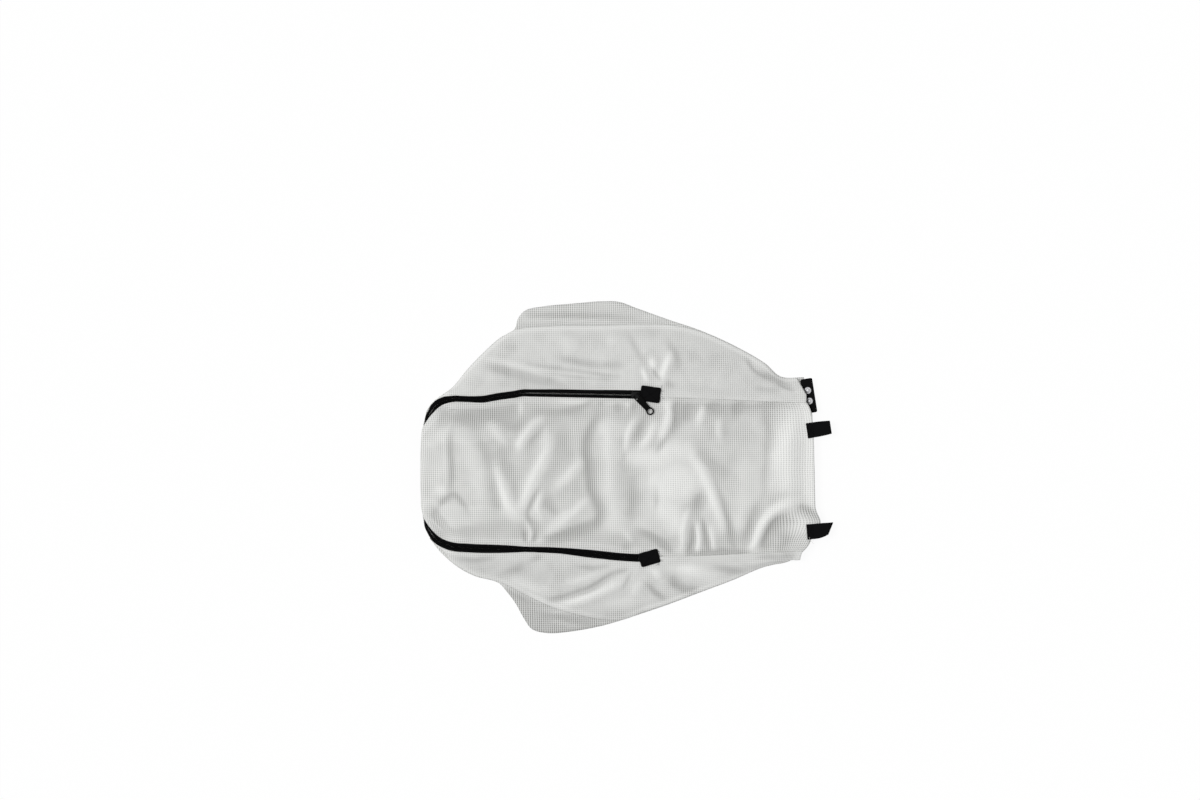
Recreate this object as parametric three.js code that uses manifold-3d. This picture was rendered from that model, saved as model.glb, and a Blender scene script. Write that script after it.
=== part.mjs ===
// Grass collection bag of a walk-behind mower, empty and lying flat with its mouth towards +X.
// Millimetres, Z up. The bottom panel rests on Z = 0.
import * as THREE from 'three';
import Module from 'manifold-3d';

// Cloth, tape and the gap that neighbouring pieces keep.
const CLOTH = 1.0;
const BOTTOM_CLOTH = 1.2;
const HEM = 2.2;
const ROLLED_SEAM = 1.8;
const TAPE = 0.8;
const WEBBING = 1.6;
const GAP = 0.3;
const ROLL_SLACK = 2.0;

// The rim line: seam, zip, rounded end, zip, seam. It carries both zip tapes and all panel edges.
const MOUTH_UPPER = [306, 124];
const MOUTH_LOWER = [310, -124];
const TAB_UPPER = [50.5, 134.6];
const TAB_LOWER = [48, -132.8];
const SEAM_START_X = 75;
const RUN_END = [-175, 139];
const RIM_HEIGHT = 22;
const MOUTH_HEIGHT = 17;
const END_HEIGHT = 11.5;
const END_X = -323.5;
const DIP_START_X = -262;
const CORNER_UPPER = [-309.5, 110];
const CORNER_LOWER = [-309, -97.5];
const SEAM_LOWER = [SEAM_START_X, -133.6];
const ROUND_END = [
  RUN_END, [-210, 137], [-250, 131], [-280, 128.5], [-299, 121.5], [-313, 104.5], [-321.5, 80], [END_X, 50],
  [END_X, -30], [-321.5, -62], [-314.5, -86.5], [-301, -103.5], [-280, -113], [-245, -116.5], [-150, -118.5],
  [-99, -120.5], [-50, -125.5], [10, -131.5], SEAM_LOWER,
];

// The tape stays flat round both corners and rolls over the straight end between these places.
const ROLL_PLACES = [[-286, 127], [END_X, 66], [END_X, -46], [-288, -110.5]];

// Where the outer tape narrows for the corner, and where the side panel becomes a wall beside it.
const NARROW_FROM_X = -264;
const NARROW_TO_X = -278;
const WALL_FROM_X = -280;
const WALL_TO_X = -294;

// Zip, measured from the middle of its chain.
const TAPE_INNER = 1.0;
const TAPE_VISIBLE = 6.5;
const TAPE_OUTER = 9.5;
const TAPE_CORNER = 6.0;
const TAPE_CORNER_INNER = 7.6;
const FLOOR_CLEARANCE = 0.7;
const CLOTH_SECOND_ROW = 10.5;
const TOOTH_TIP = 0.7;
const TOOTH_ROOT = 2.6;
const CHAIN_EDGE = 4.0;
const TOOTH_HEIGHT = 2.0;
const TOOTH_PITCH = 10;
const TOOTH_WIDTH = 4.2;

// Slider and pull.
const SLIDER_LENGTH = 13;
const SLIDER_REST = 2.5;
const SLIDER_HALF_WIDTH = 5.7;
const SLIDER_PLATE = 1.2;
const SLIDER_POST = 0.9;
const BAIL_LENGTH = 8.0;
const BAIL_WIDTH = 1.8;
const BAIL_BAR = 1.1;
const BAIL_WINDOW = 2.6;
const PULL_LENGTH = 42;
const PULL_WIDTH = 11.4;
const PULL_THICK = 1.6;
const PULL_BAR = 1.4;
const PULL_HOLE = 8.4;
const PULL_RING = 12.6;
const PULL_SLOT = 4.6;
const PULL_TURN = -47;

// Sewn-on webbing.
const TAB_LENGTH = 33;
const SLIDER_X = TAB_UPPER[0] - TAB_LENGTH / 2 - SLIDER_LENGTH / 2 - SLIDER_REST;
const TAB_WIDTH = 26;
const LOOP_WIDTH = 25;
const LOOP_LENGTH = 40;
const LOOP_SEWN = 12;
const SNAP_TAB_LENGTH = 57;
const SNAP_TAB_WIDTH = 20;
const SNAP_DIAMETER = 11.6;
const SNAP_SPACING = 17.6;
const SNAP_HEIGHT = 2.6;

// Where folds pull the cloth over the lower zip.
const PINCH_X = -148;
const PINCH_SPREAD = 16;
const PINCH_COVER = 1.8;

// The narrow wall that the side panel makes round the corners, measured like the tape.
const WALL_SLANT = 0.7;
const WALL_SIDE = TAPE_CORNER + GAP + CLOTH / 2 + WALL_SLANT;
const WALL_DROP = 1.8;

// Grid of the cloth panels.
const LONG_CELLS = 44;
const WIDE_CELLS = 16;
const SIDE_CELLS = 8;
const RING = [CLOTH_SECOND_ROW, 17, 25];
const MOUTH_BULGE = 13;
const CROWN = 3;

// Own edges of the side panels and the outline of the bottom panel, from the rounded end to the mouth.
const SIDE_UPPER_EDGE = [
  [-322, 96], [-304, 126], [-277, 146], [-251, 177], [-224, 205], [-198, 228], [-171, 243],
  [-110, 249], [-30, 250], [40, 252], [90, 250], [132, 240], [185, 217], [238, 187], [264, 164], [303, 163],
];
const SIDE_LOWER_EDGE = [
  [-322, -80], [-304, -112], [-277, -139], [-238, -162], [-198, -173], [-160, -192], [-110, -215],
  [-50, -232], [0, -236], [40, -222], [79, -209], [132, -189], [185, -169], [238, -147], [290, -136], [309, -126],
];
const BOTTOM_EDGE = [
  [-325, 70], [-318.5, 110], [-304, 127.5], [-277, 147.5], [-251, 178.5], [-224, 206.5], [-198, 229.5], [-174, 244],
  [-168, 262], [-156, 275], [-130, 281], [-79, 286], [-26, 290], [0, 288.5], [26, 279], [79, 260], [132, 242],
  [185, 218.5], [238, 188.5], [266, 165.5], [303, 164.5], [315, 120], [319, 60], [320, -40], [319, -95],
  [311, -127], [290, -137.5], [238, -148.5], [185, -170.5], [132, -190.5], [79, -210.5], [26, -228.5], [-26, -244.5],
  [-79, -254.5], [-119, -257.5], [-145, -251], [-158, -234], [-172, -209], [-186, -190], [-201, -174.5],
  [-238, -164], [-264, -151], [-290, -130], [-305, -113], [-319, -90], [-325, -55],
];

// Folds: a crest line, its height, and how far it spreads to the left and right of that line.
const FOLDS = [
  { line: [[40, 112], [-4, 92], [-18, 50], [-22, 0], [-16, -50], [6, -92], [48, -110]], rise: 10, left: 9, right: 26 },
  { line: [[-300, 85], [-300, 26], [-300, -21], [-304, -56]], rise: 4.5, left: 15, right: 20 },
  { line: [[-282, 20], [-262, -55], [-230, -72]], rise: 4, left: 12, right: 12 },
  { line: [[-173, 80], [-158, 50], [-128, 98]], rise: 5, left: 12, right: 12 },
  { line: [[-200, 10], [-175, -55], [-150, -102]], rise: 7, left: 15, right: 15 },
  { line: [[-50, 30], [-92, -48], [-145, -104]], rise: 7, left: 16, right: 16 },
  { line: [[-285, 103], [-240, 98], [-190, 112], [-110, 103], [-50, 110]], rise: 4, left: 9, right: 9 },
  { line: [[60, 108], [44, 56], [22, 24]], rise: 6, left: 11, right: 11 },
  { line: [[86, 106], [72, 62], [52, 30]], rise: 6, left: 10, right: 10 },
  { line: [[80, 40], [92, 0], [78, -70]], rise: 6, left: 26, right: 26 },
  { line: [[258, 96], [262, 30], [250, -30]], rise: 6, left: 20, right: 20 },
  { line: [[130, -18], [114, -70], [106, -116]], rise: 7, left: 10, right: 10 },
  { line: [[130, -18], [152, -60], [172, -108]], rise: 6, left: 11, right: 11 },
  { line: [[210, -112], [222, -88], [246, -62], [280, -44], [312, -60]], rise: 8, left: 12, right: 12 },
  { line: [[-150, 181], [-100, 169], [-16, 168], [26, 160]], rise: 7, left: 12, right: 12 },
  { line: [[48, 160], [54, 180], [62, 204]], rise: 6, left: 8, right: 8 },
  { line: [[72, 152], [80, 180], [98, 212]], rise: 5, left: 9, right: 9 },
  { line: [[-235, 168], [-180, 160], [-120, 196]], rise: 5, left: 12, right: 12 },
  { line: [[-110, 215], [-20, 212], [40, 222]], rise: 4, left: 14, right: 14 },
  { line: [[200, 200], [243, 176], [270, 150]], rise: 4, left: 10, right: 10 },
  { line: [[-105, -196], [-82, -190], [-45, -180], [12, -156]], rise: 7, left: 11, right: 11 },
  { line: [[-210, -150], [-150, -158], [-90, -152]], rise: 5, left: 13, right: 13 },
  { line: [[70, -152], [90, -172], [112, -186]], rise: 5, left: 13, right: 13 },
  { line: [[160, -140], [200, -152], [250, -136]], rise: 3, left: 9, right: 9 },
];

const wasm = await Module();
wasm.setup();

const UP = new THREE.Vector3(0, 0, 1);
const vec = (x, y, z = 0) => new THREE.Vector3(x, y, z);
const clamp01 = (t) => Math.min(1, Math.max(0, t));
const ramp = (a, b, x) => THREE.MathUtils.smoothstep((x - a) / (b - a), 0, 1);
const radians = THREE.MathUtils.degToRad;

// Materials and the mesh that carries one.
const LOOKS = {
  cloth: { color: '#d2d3d0', roughness: 0.85, metalness: 0 },
  webbing: { color: '#1b1b1b', roughness: 0.8, metalness: 0 },
  chain: { color: '#202020', roughness: 0.45, metalness: 0 },
  enamel: { color: '#161616', roughness: 0.35, metalness: 0 },
  steel: { color: '#c4c6c8', roughness: 0.25, metalness: 1 },
};

function piece(name, geometry, look) {
  const mesh = new THREE.Mesh(geometry, new THREE.MeshStandardMaterial(LOOKS[look]));
  mesh.name = name;
  return mesh;
}

// Boolean work on closed solids.
function toManifold(geometry) {
  const welded = geometry.index ? geometry.toNonIndexed() : geometry.clone();
  welded.deleteAttribute('normal');
  welded.deleteAttribute('uv');
  const position = welded.attributes.position;
  const seen = new Map();
  const vertices = [];
  const triangles = [];
  for (let k = 0; k < position.count; k += 1) {
    const key = [position.getX(k), position.getY(k), position.getZ(k)].map((v) => v.toFixed(4)).join();
    if (!seen.has(key)) {
      seen.set(key, vertices.length / 3);
      vertices.push(position.getX(k), position.getY(k), position.getZ(k));
    }
    triangles.push(seen.get(key));
  }
  return new wasm.Manifold(new wasm.Mesh({
    numProp: 3,
    vertProperties: new Float32Array(vertices),
    triVerts: new Uint32Array(triangles),
  }));
}

function fromManifold(solid) {
  const mesh = solid.getMesh();
  const geometry = new THREE.BufferGeometry();
  geometry.setAttribute('position', new THREE.BufferAttribute(mesh.vertProperties, 3));
  geometry.setIndex(new THREE.BufferAttribute(mesh.triVerts, 1));
  return finish(geometry.toNonIndexed());
}

function finish(geometry) {
  geometry.computeVertexNormals();
  return geometry;
}

function union(geometries) {
  return fromManifold(geometries.map(toManifold).reduce((a, b) => a.add(b)));
}

function box(x0, x1, y0, y1, z0, z1) {
  const geometry = new THREE.BoxGeometry(x1 - x0, y1 - y0, z1 - z0);
  return geometry.translate((x0 + x1) / 2, (y0 + y1) / 2, (z0 + z1) / 2);
}

// The rim line in plan, walked from the upper end of the mouth round the bag to the lower end.
function rimPath() {
  const path = new THREE.CurvePath();
  const slope = (RUN_END[1] - TAB_UPPER[1]) / (RUN_END[0] - TAB_UPPER[0]);
  const seamUpper = vec(SEAM_START_X, TAB_UPPER[1] + slope * (SEAM_START_X - TAB_UPPER[0]));
  const seamLower = vec(...ROUND_END[ROUND_END.length - 1]);
  path.add(new THREE.LineCurve3(vec(...MOUTH_UPPER), seamUpper));
  path.add(new THREE.LineCurve3(seamUpper, vec(...RUN_END)));
  path.add(new THREE.CatmullRomCurve3(ROUND_END.map((place) => vec(...place)), false, 'centripetal'));
  path.add(new THREE.LineCurve3(seamLower, vec(...MOUTH_LOWER)));
  return path;
}

const RIM = rimPath().getSpacedPoints(1200);
const RIM_LENGTH = RIM.slice(1).reduce((sum, p, k) => sum + p.distanceTo(RIM[k]), 0);

function rimAt(s) {
  const place = clamp01(s / RIM_LENGTH) * (RIM.length - 1);
  const k = Math.min(Math.floor(place), RIM.length - 2);
  return RIM[k].clone().lerp(RIM[k + 1], place - k);
}

function rimFrame(s) {
  const reach = 3;
  const middle = rimAt(s);
  const along = rimAt(s + reach).sub(rimAt(s - reach)).normalize();
  const [from, flat, flatEnd, to] = S_ROLL;
  const roll = radians(90) * ramp(from, flat, s) * (1 - ramp(flatEnd, to, s));
  const lift = RIM_HEIGHT + (END_HEIGHT - RIM_HEIGHT) * ramp(DIP_START_X, END_X + 1, middle.x)
    + (MOUTH_HEIGHT - RIM_HEIGHT) * ramp(110, MOUTH_UPPER[0], middle.x);
  return { middle: middle.setZ(lift), along, out: vec(along.y, -along.x), roll };
}

// A point beside the rim line, `side` outwards and `lift` off the tape, on the tape's own slant.
function besideRim(frame, side, lift) {
  const cos = Math.cos(frame.roll);
  const sin = Math.sin(frame.roll);
  const across = frame.out.clone().multiplyScalar(cos).addScaledVector(UP, -sin);
  const normal = frame.out.clone().multiplyScalar(sin).addScaledVector(UP, cos);
  const point = frame.middle.clone().addScaledVector(across, side).addScaledVector(normal, lift);
  return { point, normal };
}

function stationNear([x, y]) {
  let best = 0;
  RIM.forEach((p, k) => {
    if (Math.hypot(p.x - x, p.y - y) < Math.hypot(RIM[best].x - x, RIM[best].y - y)) best = k;
  });
  return best / (RIM.length - 1) * RIM_LENGTH;
}

const S_ROLL = ROLL_PLACES.map(stationNear);
const S_CORNER_UPPER = stationNear(CORNER_UPPER);
const S_CORNER_LOWER = stationNear(CORNER_LOWER);
const S_TAB_UPPER = stationNear(TAB_UPPER);
const S_TAB_LOWER = stationNear(TAB_LOWER);
const armSpread = (t) => Math.pow(t, 1.2);

const upperStation = (i) => S_CORNER_UPPER * (1 - armSpread(i / LONG_CELLS));
const lowerStation = (i) => S_CORNER_LOWER + (RIM_LENGTH - S_CORNER_LOWER) * armSpread(i / LONG_CELLS);
const endStation = (j) => S_CORNER_LOWER + (S_CORNER_UPPER - S_CORNER_LOWER) * (j / WIDE_CELLS);

// Fold height at a place in plan.
function foldHeight(x, y) {
  let height = 0;
  for (const fold of FOLDS) {
    let near = Infinity;
    let share = 0;
    let turn = 1;
    const count = fold.line.length - 1;
    for (let k = 0; k < count; k += 1) {
      const [ax, ay] = fold.line[k];
      const [bx, by] = fold.line[k + 1];
      const length = Math.hypot(bx - ax, by - ay);
      const t = clamp01(((x - ax) * (bx - ax) + (y - ay) * (by - ay)) / (length * length));
      const distance = Math.hypot(x - ax - t * (bx - ax), y - ay - t * (by - ay));
      if (distance < near) {
        near = distance;
        share = (k + t) / count;
        turn = (bx - ax) * (y - ay) - (by - ay) * (x - ax);
      }
    }
    const spread = turn > 0 ? fold.left : fold.right;
    const taper = 0.45 + 0.55 * Math.sin(Math.PI * share);
    height += fold.rise * taper * Math.exp(-((near / spread) ** 2));
  }
  return height;
}

// A closed sheet on a grid of nodes. Cells that are not wanted are left out.
function sheetSolid(nodes, thickness, wanted = () => true) {
  const positions = [];
  const faces = [];
  const index = new Map();
  const vertex = (i, j, side) => {
    const key = `${i},${j},${side}`;
    if (!index.has(key)) {
      const { point, normal } = nodes[i][j];
      const p = point.clone().addScaledVector(normal, side * thickness(i, j) / 2);
      index.set(key, positions.length / 3);
      positions.push(p.x, p.y, p.z);
    }
    return index.get(key);
  };
  const present = (i, j) => i >= 0 && j >= 0 && i < nodes.length - 1 && j < nodes[0].length - 1 && wanted(i, j);
  const wall = (a, b) => {
    const [a1, b1] = [vertex(...a, 1), vertex(...b, 1)];
    const [a0, b0] = [vertex(...a, -1), vertex(...b, -1)];
    faces.push(a1, a0, b0, a1, b0, b1);
  };
  for (let i = 0; i < nodes.length - 1; i += 1) {
    for (let j = 0; j < nodes[0].length - 1; j += 1) {
      if (!present(i, j)) continue;
      const [a, b, c, d] = [[i, j], [i + 1, j], [i + 1, j + 1], [i, j + 1]];
      const top = [a, b, c, d].map((n) => vertex(...n, 1));
      const low = [a, b, c, d].map((n) => vertex(...n, -1));
      faces.push(top[0], top[1], top[2], top[0], top[2], top[3]);
      faces.push(low[0], low[2], low[1], low[0], low[3], low[2]);
      if (!present(i, j - 1)) wall(a, b);
      if (!present(i + 1, j)) wall(b, c);
      if (!present(i, j + 1)) wall(c, d);
      if (!present(i - 1, j)) wall(d, a);
    }
  }
  const geometry = new THREE.BufferGeometry();
  geometry.setAttribute('position', new THREE.Float32BufferAttribute(positions, 3));
  geometry.setIndex(faces);
  if (signedVolume(geometry) < 0) turnInsideOut(geometry);
  return finish(geometry);
}

function signedVolume(geometry) {
  const p = geometry.attributes.position;
  const index = geometry.index;
  const [a, b, c] = [vec(0, 0), vec(0, 0), vec(0, 0)];
  let sum = 0;
  for (let k = 0; k < index.count; k += 3) {
    a.fromBufferAttribute(p, index.getX(k));
    b.fromBufferAttribute(p, index.getX(k + 1));
    c.fromBufferAttribute(p, index.getX(k + 2));
    sum += a.dot(b.cross(c)) / 6;
  }
  return sum;
}

function turnInsideOut(geometry) {
  const list = Array.from(geometry.index.array);
  for (let k = 0; k < list.length; k += 3) [list[k + 1], list[k + 2]] = [list[k + 2], list[k + 1]];
  geometry.setIndex(list);
}

// Normals for the nodes that have none yet, from their neighbours, all on the side that faces up.
function fillNormals(nodes) {
  const normalAt = (i, j) => {
    const along = nodes[Math.min(i + 1, nodes.length - 1)][j].point.clone()
      .sub(nodes[Math.max(i - 1, 0)][j].point);
    const row = nodes[i];
    const across = row[Math.min(j + 1, row.length - 1)].point.clone().sub(row[Math.max(j - 1, 0)].point);
    return along.cross(across).normalize();
  };
  const side = Math.sign(normalAt(Math.floor(nodes.length / 2), Math.floor(nodes[0].length / 2)).z);
  nodes.forEach((row, i) => row.forEach((node, j) => {
    if (!node.normal) node.normal = normalAt(i, j).multiplyScalar(side);
  }));
  return nodes;
}

// How far the zip has given way to the plain seam at a place along the bag.
const seamShare = (x) => ramp(TAB_UPPER[0] - 8, TAB_UPPER[0] + 12, x);
const clothLift = (frame) => (TAPE + CLOTH) / 2 + GAP + ROLL_SLACK * Math.sin(frame.roll);

function clothEdge(frame) {
  const { x, y } = frame.middle;
  const pinch = y < 0 ? PINCH_COVER * Math.exp(-(((x - PINCH_X) / PINCH_SPREAD) ** 2)) : 0;
  return THREE.MathUtils.lerp(TAPE_VISIBLE - pinch, GAP / 2, seamShare(x));
}

// Rows of the top panel next to the rim: edge, second row, then the turn over the rounded end.
function topRingNode(frame, depth) {
  const lift = clothLift(frame);
  if (depth === 0) return besideRim(frame, -clothEdge(frame), lift);
  const node = besideRim(frame, -RING[0], lift);
  if (depth === 1) return node;
  const turned = frame.roll * (depth === 2 ? 0.45 : 0);
  const radius = 7;
  const inward = radius * (Math.sin(frame.roll) - Math.sin(turned)) + (RING[depth - 1] - RING[0]) * 0.9;
  const upward = radius * (Math.cos(turned) - Math.cos(frame.roll));
  node.point.addScaledVector(frame.out, -inward + (depth === 2 ? 4 * Math.sin(frame.roll) : 0));
  node.point.addScaledVector(UP, upward);
  return { point: node.point };
}

function topPanel() {
  const last = WIDE_CELLS;
  const depthOf = (i, j) => Math.min(i, j, last - j);
  const ringNode = (i, j, depth) => {
    if (i === depth && (j === depth || j === last - depth)) {
      return topRingNode(rimFrame(j === depth ? S_CORNER_LOWER : S_CORNER_UPPER), depth);
    }
    if (j === depth) return topRingNode(rimFrame(lowerStation(i)), depth);
    if (j === last - depth) return topRingNode(rimFrame(upperStation(i)), depth);
    return topRingNode(rimFrame(endStation(j)), depth);
  };
  const nodes = [];
  for (let i = 0; i <= LONG_CELLS; i += 1) {
    nodes.push([]);
    for (let j = 0; j <= last; j += 1) {
      nodes[i].push(depthOf(i, j) <= 3 ? ringNode(i, j, depthOf(i, j)) : null);
    }
  }
  const first = 3;
  for (let j = first + 1; j < last - first; j += 1) {
    const t = (j - first) / (last - 2 * first);
    nodes[LONG_CELLS][j] = {
      point: nodes[LONG_CELLS][first].point.clone().lerp(nodes[LONG_CELLS][last - first].point, t),
    };
  }
  for (let i = first + 1; i < LONG_CELLS; i += 1) {
    for (let j = first + 1; j < last - first; j += 1) {
      nodes[i][j] = { point: patchPoint(nodes, i, j, first, LONG_CELLS, last - first) };
    }
  }
  nodes.forEach((row) => row.forEach((node) => {
    if (!node.normal) {
      const { x, y } = node.point;
      node.point.z += crownAt(x, y) + foldHeight(x, y) * foldFade(x, y);
    }
    stretchMouth(node.point);
  }));
  const hemThickness = (i) => (i >= LONG_CELLS - 1 ? HEM : CLOTH);
  return piece('top_panel', sheetSolid(fillNormals(nodes), hemThickness), 'cloth');
}

// Point inside a patch whose four edge rows are already placed.
function patchPoint(nodes, i, j, first, lastI, lastJ) {
  const u = (i - first) / (lastI - first);
  const v = (j - first) / (lastJ - first);
  const [left, right] = [nodes[first][j].point, nodes[lastI][j].point];
  const [low, high] = [nodes[i][first].point, nodes[i][lastJ].point];
  const corners = [
    [nodes[first][first].point, (1 - u) * (1 - v)], [nodes[lastI][first].point, u * (1 - v)],
    [nodes[first][lastJ].point, (1 - u) * v], [nodes[lastI][lastJ].point, u * v],
  ];
  const point = left.clone().multiplyScalar(1 - u).addScaledVector(right, u)
    .addScaledVector(low, 1 - v).addScaledVector(high, v);
  corners.forEach(([corner, share]) => point.addScaledVector(corner, -share));
  return point;
}

function rimDistance(x, y) {
  return RIM.reduce((best, p) => Math.min(best, Math.hypot(p.x - x, p.y - y)), Infinity);
}

// Folds die out towards the rim and the hem, and further off where the pull lies on its way along the zip.
function foldFade(x, y) {
  const lane = y > 0 ? (1 - ramp(TAB_UPPER[0], TAB_UPPER[0] + 30, x)) : 0;
  const from = 12 + 28 * lane;
  return ramp(from, from + 20 + 4 * lane, rimDistance(x, y)) * hemFade(x);
}
const hemFade = (x) => 1 - ramp(MOUTH_UPPER[0] - 60, MOUTH_UPPER[0] - 20, x);
const crownAt = (x, y) => CROWN * ramp(17, 90, rimDistance(x, y)) * hemFade(x);

function stretchMouth(point) {
  const share = ramp(MOUTH_UPPER[0] - 60, MOUTH_UPPER[0], point.x);
  point.x += MOUTH_BULGE * share * (1 - Math.min(1, Math.abs(point.y / MOUTH_UPPER[1])) ** 8);
}

// Height of a curve through control points at a given X.
function curveLookup(points) {
  const samples = new THREE.SplineCurve(points.map(([x, y]) => new THREE.Vector2(x, y))).getPoints(400);
  return (x) => {
    const k = samples.findIndex((p) => p.x > x);
    if (k <= 0) return k === 0 ? samples[0].y : samples[samples.length - 1].y;
    const t = (x - samples[k - 1].x) / (samples[k].x - samples[k - 1].x);
    return samples[k - 1].y + t * (samples[k].y - samples[k - 1].y);
  };
}

// A side panel runs from the rim down to its own edge, which is sewn to the bottom panel.
function sidePanel(name, edgePoints, station, mouthCut) {
  const edgeY = curveLookup(edgePoints);
  const edgeZ = BOTTOM_CLOTH + GAP + CLOTH / 2;
  const nodes = [];
  for (let i = 0; i <= LONG_CELLS; i += 1) {
    nodes.push(sideRow(rimFrame(station(i)), edgeY, edgeZ, mouthCut));
  }
  const rolled = (i, j) => {
    const beyondTab = nodes[i][0].point.x > TAB_UPPER[0] + TAB_LENGTH / 2 + 6;
    if (j === 0 && beyondTab) return ROLLED_SEAM;
    return i === nodes.length - 1 && j < SIDE_CELLS - 2 ? HEM : CLOTH;
  };
  return piece(name, sheetSolid(fillNormals(nodes), rolled), 'cloth');
}

// Nodes across a side panel: the first two beside the tape, the rest down to the panel's own edge.
function sideRow(frame, edgeY, edgeZ, mouthCut) {
  const { x } = frame.middle;
  const { lerp } = THREE.MathUtils;
  const wall = ramp(WALL_FROM_X, WALL_TO_X, x);
  const lift = clothLift(frame);
  const inner = besideRim(frame, lerp(clothEdge(frame), WALL_SIDE - WALL_SLANT, wall), lift);
  const second = besideRim(frame, lerp(RING[0], WALL_SIDE, wall), lerp(lift, -WALL_DROP, wall));
  const outerX = x - mouthCut * ramp(250, MOUTH_UPPER[0], x);
  const foot = second.point.clone().addScaledVector(frame.out, WALL_SLANT);
  const outer = vec(outerX, edgeY(outerX)).lerp(foot, wall).setZ(lerp(edgeZ, edgeZ - CLOTH / 2, wall));
  const row = wall > 0 ? [{ point: inner.point }, { point: second.point }] : [inner, second];
  for (let j = 1; j <= SIDE_CELLS; j += 1) {
    const t = j / SIDE_CELLS;
    const point = second.point.clone().lerp(outer, t);
    const width = Math.hypot(outer.x - second.point.x, outer.y - second.point.y);
    point.z = outer.z + (second.point.z - outer.z) * Math.cos(t * Math.PI / 2) ** 1.2;
    const fade = foldFade(point.x, point.y) * ramp(0, 0.35, 1 - t) * ramp(10, 40, width);
    point.z += foldHeight(point.x, point.y) * fade;
    row.push({ point });
  }
  row[row.length - 1].normal = UP.clone().lerp(frame.out, wall).normalize();
  return row;
}

function bottomPanel() {
  const curve = new THREE.SplineCurve([...BOTTOM_EDGE, BOTTOM_EDGE[0]].map(([x, y]) => new THREE.Vector2(x, y)));
  const shape = new THREE.Shape(curve.getPoints(BOTTOM_EDGE.length * 2).slice(0, -1));
  const geometry = new THREE.ExtrudeGeometry(shape, { depth: BOTTOM_CLOTH, bevelEnabled: false });
  return piece('bottom_panel', geometry, 'cloth');
}

// Stations shared by both tapes, so that cloth and tape bend at the same places.
function tapeStations() {
  const list = [S_TAB_UPPER];
  for (let i = LONG_CELLS; i > 0; i -= 1) if (upperStation(i) > S_TAB_UPPER + 3) list.push(upperStation(i));
  for (let j = WIDE_CELLS; j >= 0; j -= 1) list.push(endStation(j));
  for (let i = 1; i <= LONG_CELLS; i += 1) if (lowerStation(i) < S_TAB_LOWER - 3) list.push(lowerStation(i));
  list.push(S_TAB_LOWER);
  return list;
}

// Both tapes are narrower from the corners on. The outer one widens again where it hangs over the end,
// and stays clear of the floor there.
function tapeReach(frame, side) {
  const narrow = ramp(NARROW_FROM_X, NARROW_TO_X, frame.middle.x);
  if (side < 0) return TAPE_OUTER - (TAPE_OUTER - TAPE_CORNER_INNER) * narrow;
  const hanging = ramp(0.5, 0.95, Math.sin(frame.roll));
  const reach = TAPE_OUTER - (TAPE_OUTER - TAPE_CORNER) * narrow * (1 - hanging);
  return reach - FLOOR_CLEARANCE * Math.sin(frame.roll);
}

function zipTape(name, side) {
  const nodes = tapeStations().map((s) => {
    const frame = rimFrame(s);
    const reach = tapeReach(frame, side);
    const middle = Math.min(TAPE_VISIBLE, (TAPE_INNER + reach) / 2);
    return [TAPE_INNER, middle, reach].map((w) => besideRim(frame, side * w, 0));
  });
  return piece(name, sheetSolid(nodes, () => TAPE), 'webbing');
}

function zipTeeth(name, side) {
  const lift = (roll) => (TAPE + TOOTH_HEIGHT) / 2 + GAP + 0.7 * Math.sin(roll);
  const first = S_TAB_UPPER + TAB_LENGTH / 2 + 1 + (side > 0 ? 0 : TOOTH_PITCH / 2);
  const count = Math.floor((S_TAB_LOWER - TAB_LENGTH / 2 - 2 - first) / TOOTH_PITCH);
  const stations = [];
  for (let k = 0; k < count; k += 1) {
    stations.push(first + k * TOOTH_PITCH, first + k * TOOTH_PITCH + TOOTH_WIDTH);
  }
  const nodes = stations.map((s) => {
    const frame = rimFrame(s);
    return [TOOTH_TIP, TOOTH_ROOT, CHAIN_EDGE].map((w) => besideRim(frame, side * w, lift(frame.roll)));
  });
  const tooth = (i, j) => j === 1 || i % 2 === 0;
  return piece(name, sheetSolid(nodes, () => TOOTH_HEIGHT, tooth), 'chain');
}

// Moves a piece modelled at the origin onto the rim, X along the zip and Y outwards.
function placeOnRim(geometry, x) {
  const s = stationNear([x, RUN_END[1]]);
  const frame = rimFrame(s);
  const basis = new THREE.Matrix4().makeBasis(frame.along.clone().negate(), frame.out, UP);
  return geometry.applyMatrix4(basis.setPosition(frame.middle));
}

const CHAIN_TOP = TAPE / 2 + GAP + TOOTH_HEIGHT;
const SLIDER_TOP = CHAIN_TOP + GAP + SLIDER_PLATE;
const BAR_HEIGHT = SLIDER_TOP + BAIL_WINDOW / 2;

function zipSlider() {
  const half = SLIDER_LENGTH / 2;
  const plate = (z0, z1) => {
    const shape = new THREE.Shape();
    const w = SLIDER_HALF_WIDTH;
    shape.moveTo(-half, -w * 0.72).lineTo(-half + 3, -w * 0.8).lineTo(half - 4, -w).lineTo(half, -w * 0.8);
    shape.lineTo(half, w * 0.8).lineTo(half - 4, w).lineTo(-half + 3, w * 0.8).lineTo(-half, w * 0.72);
    return new THREE.ExtrudeGeometry(shape, { depth: z1 - z0, bevelEnabled: false }).translate(0, 0, z0);
  };
  const top = SLIDER_TOP - SLIDER_PLATE;
  const under = -TAPE / 2 - GAP;
  const flangeFoot = TAPE / 2 + GAP;
  const parts = [
    plate(top, SLIDER_TOP),
    plate(under - SLIDER_PLATE, under),
    box(half - 3.5, half - 0.5, -SLIDER_POST / 2, SLIDER_POST / 2, under - 0.5, top + 0.5),
    bail(),
  ];
  for (const side of [-1, 1]) {
    const [near, far] = [side * (CHAIN_EDGE + GAP), side * (SLIDER_HALF_WIDTH * 0.94)];
    parts.push(box(-1, half - 3, Math.min(near, far), Math.max(near, far), flangeFoot, top + 0.5));
  }
  return piece('zip_slider', placeOnRim(union(parts), SLIDER_X), 'enamel');
}

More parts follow.
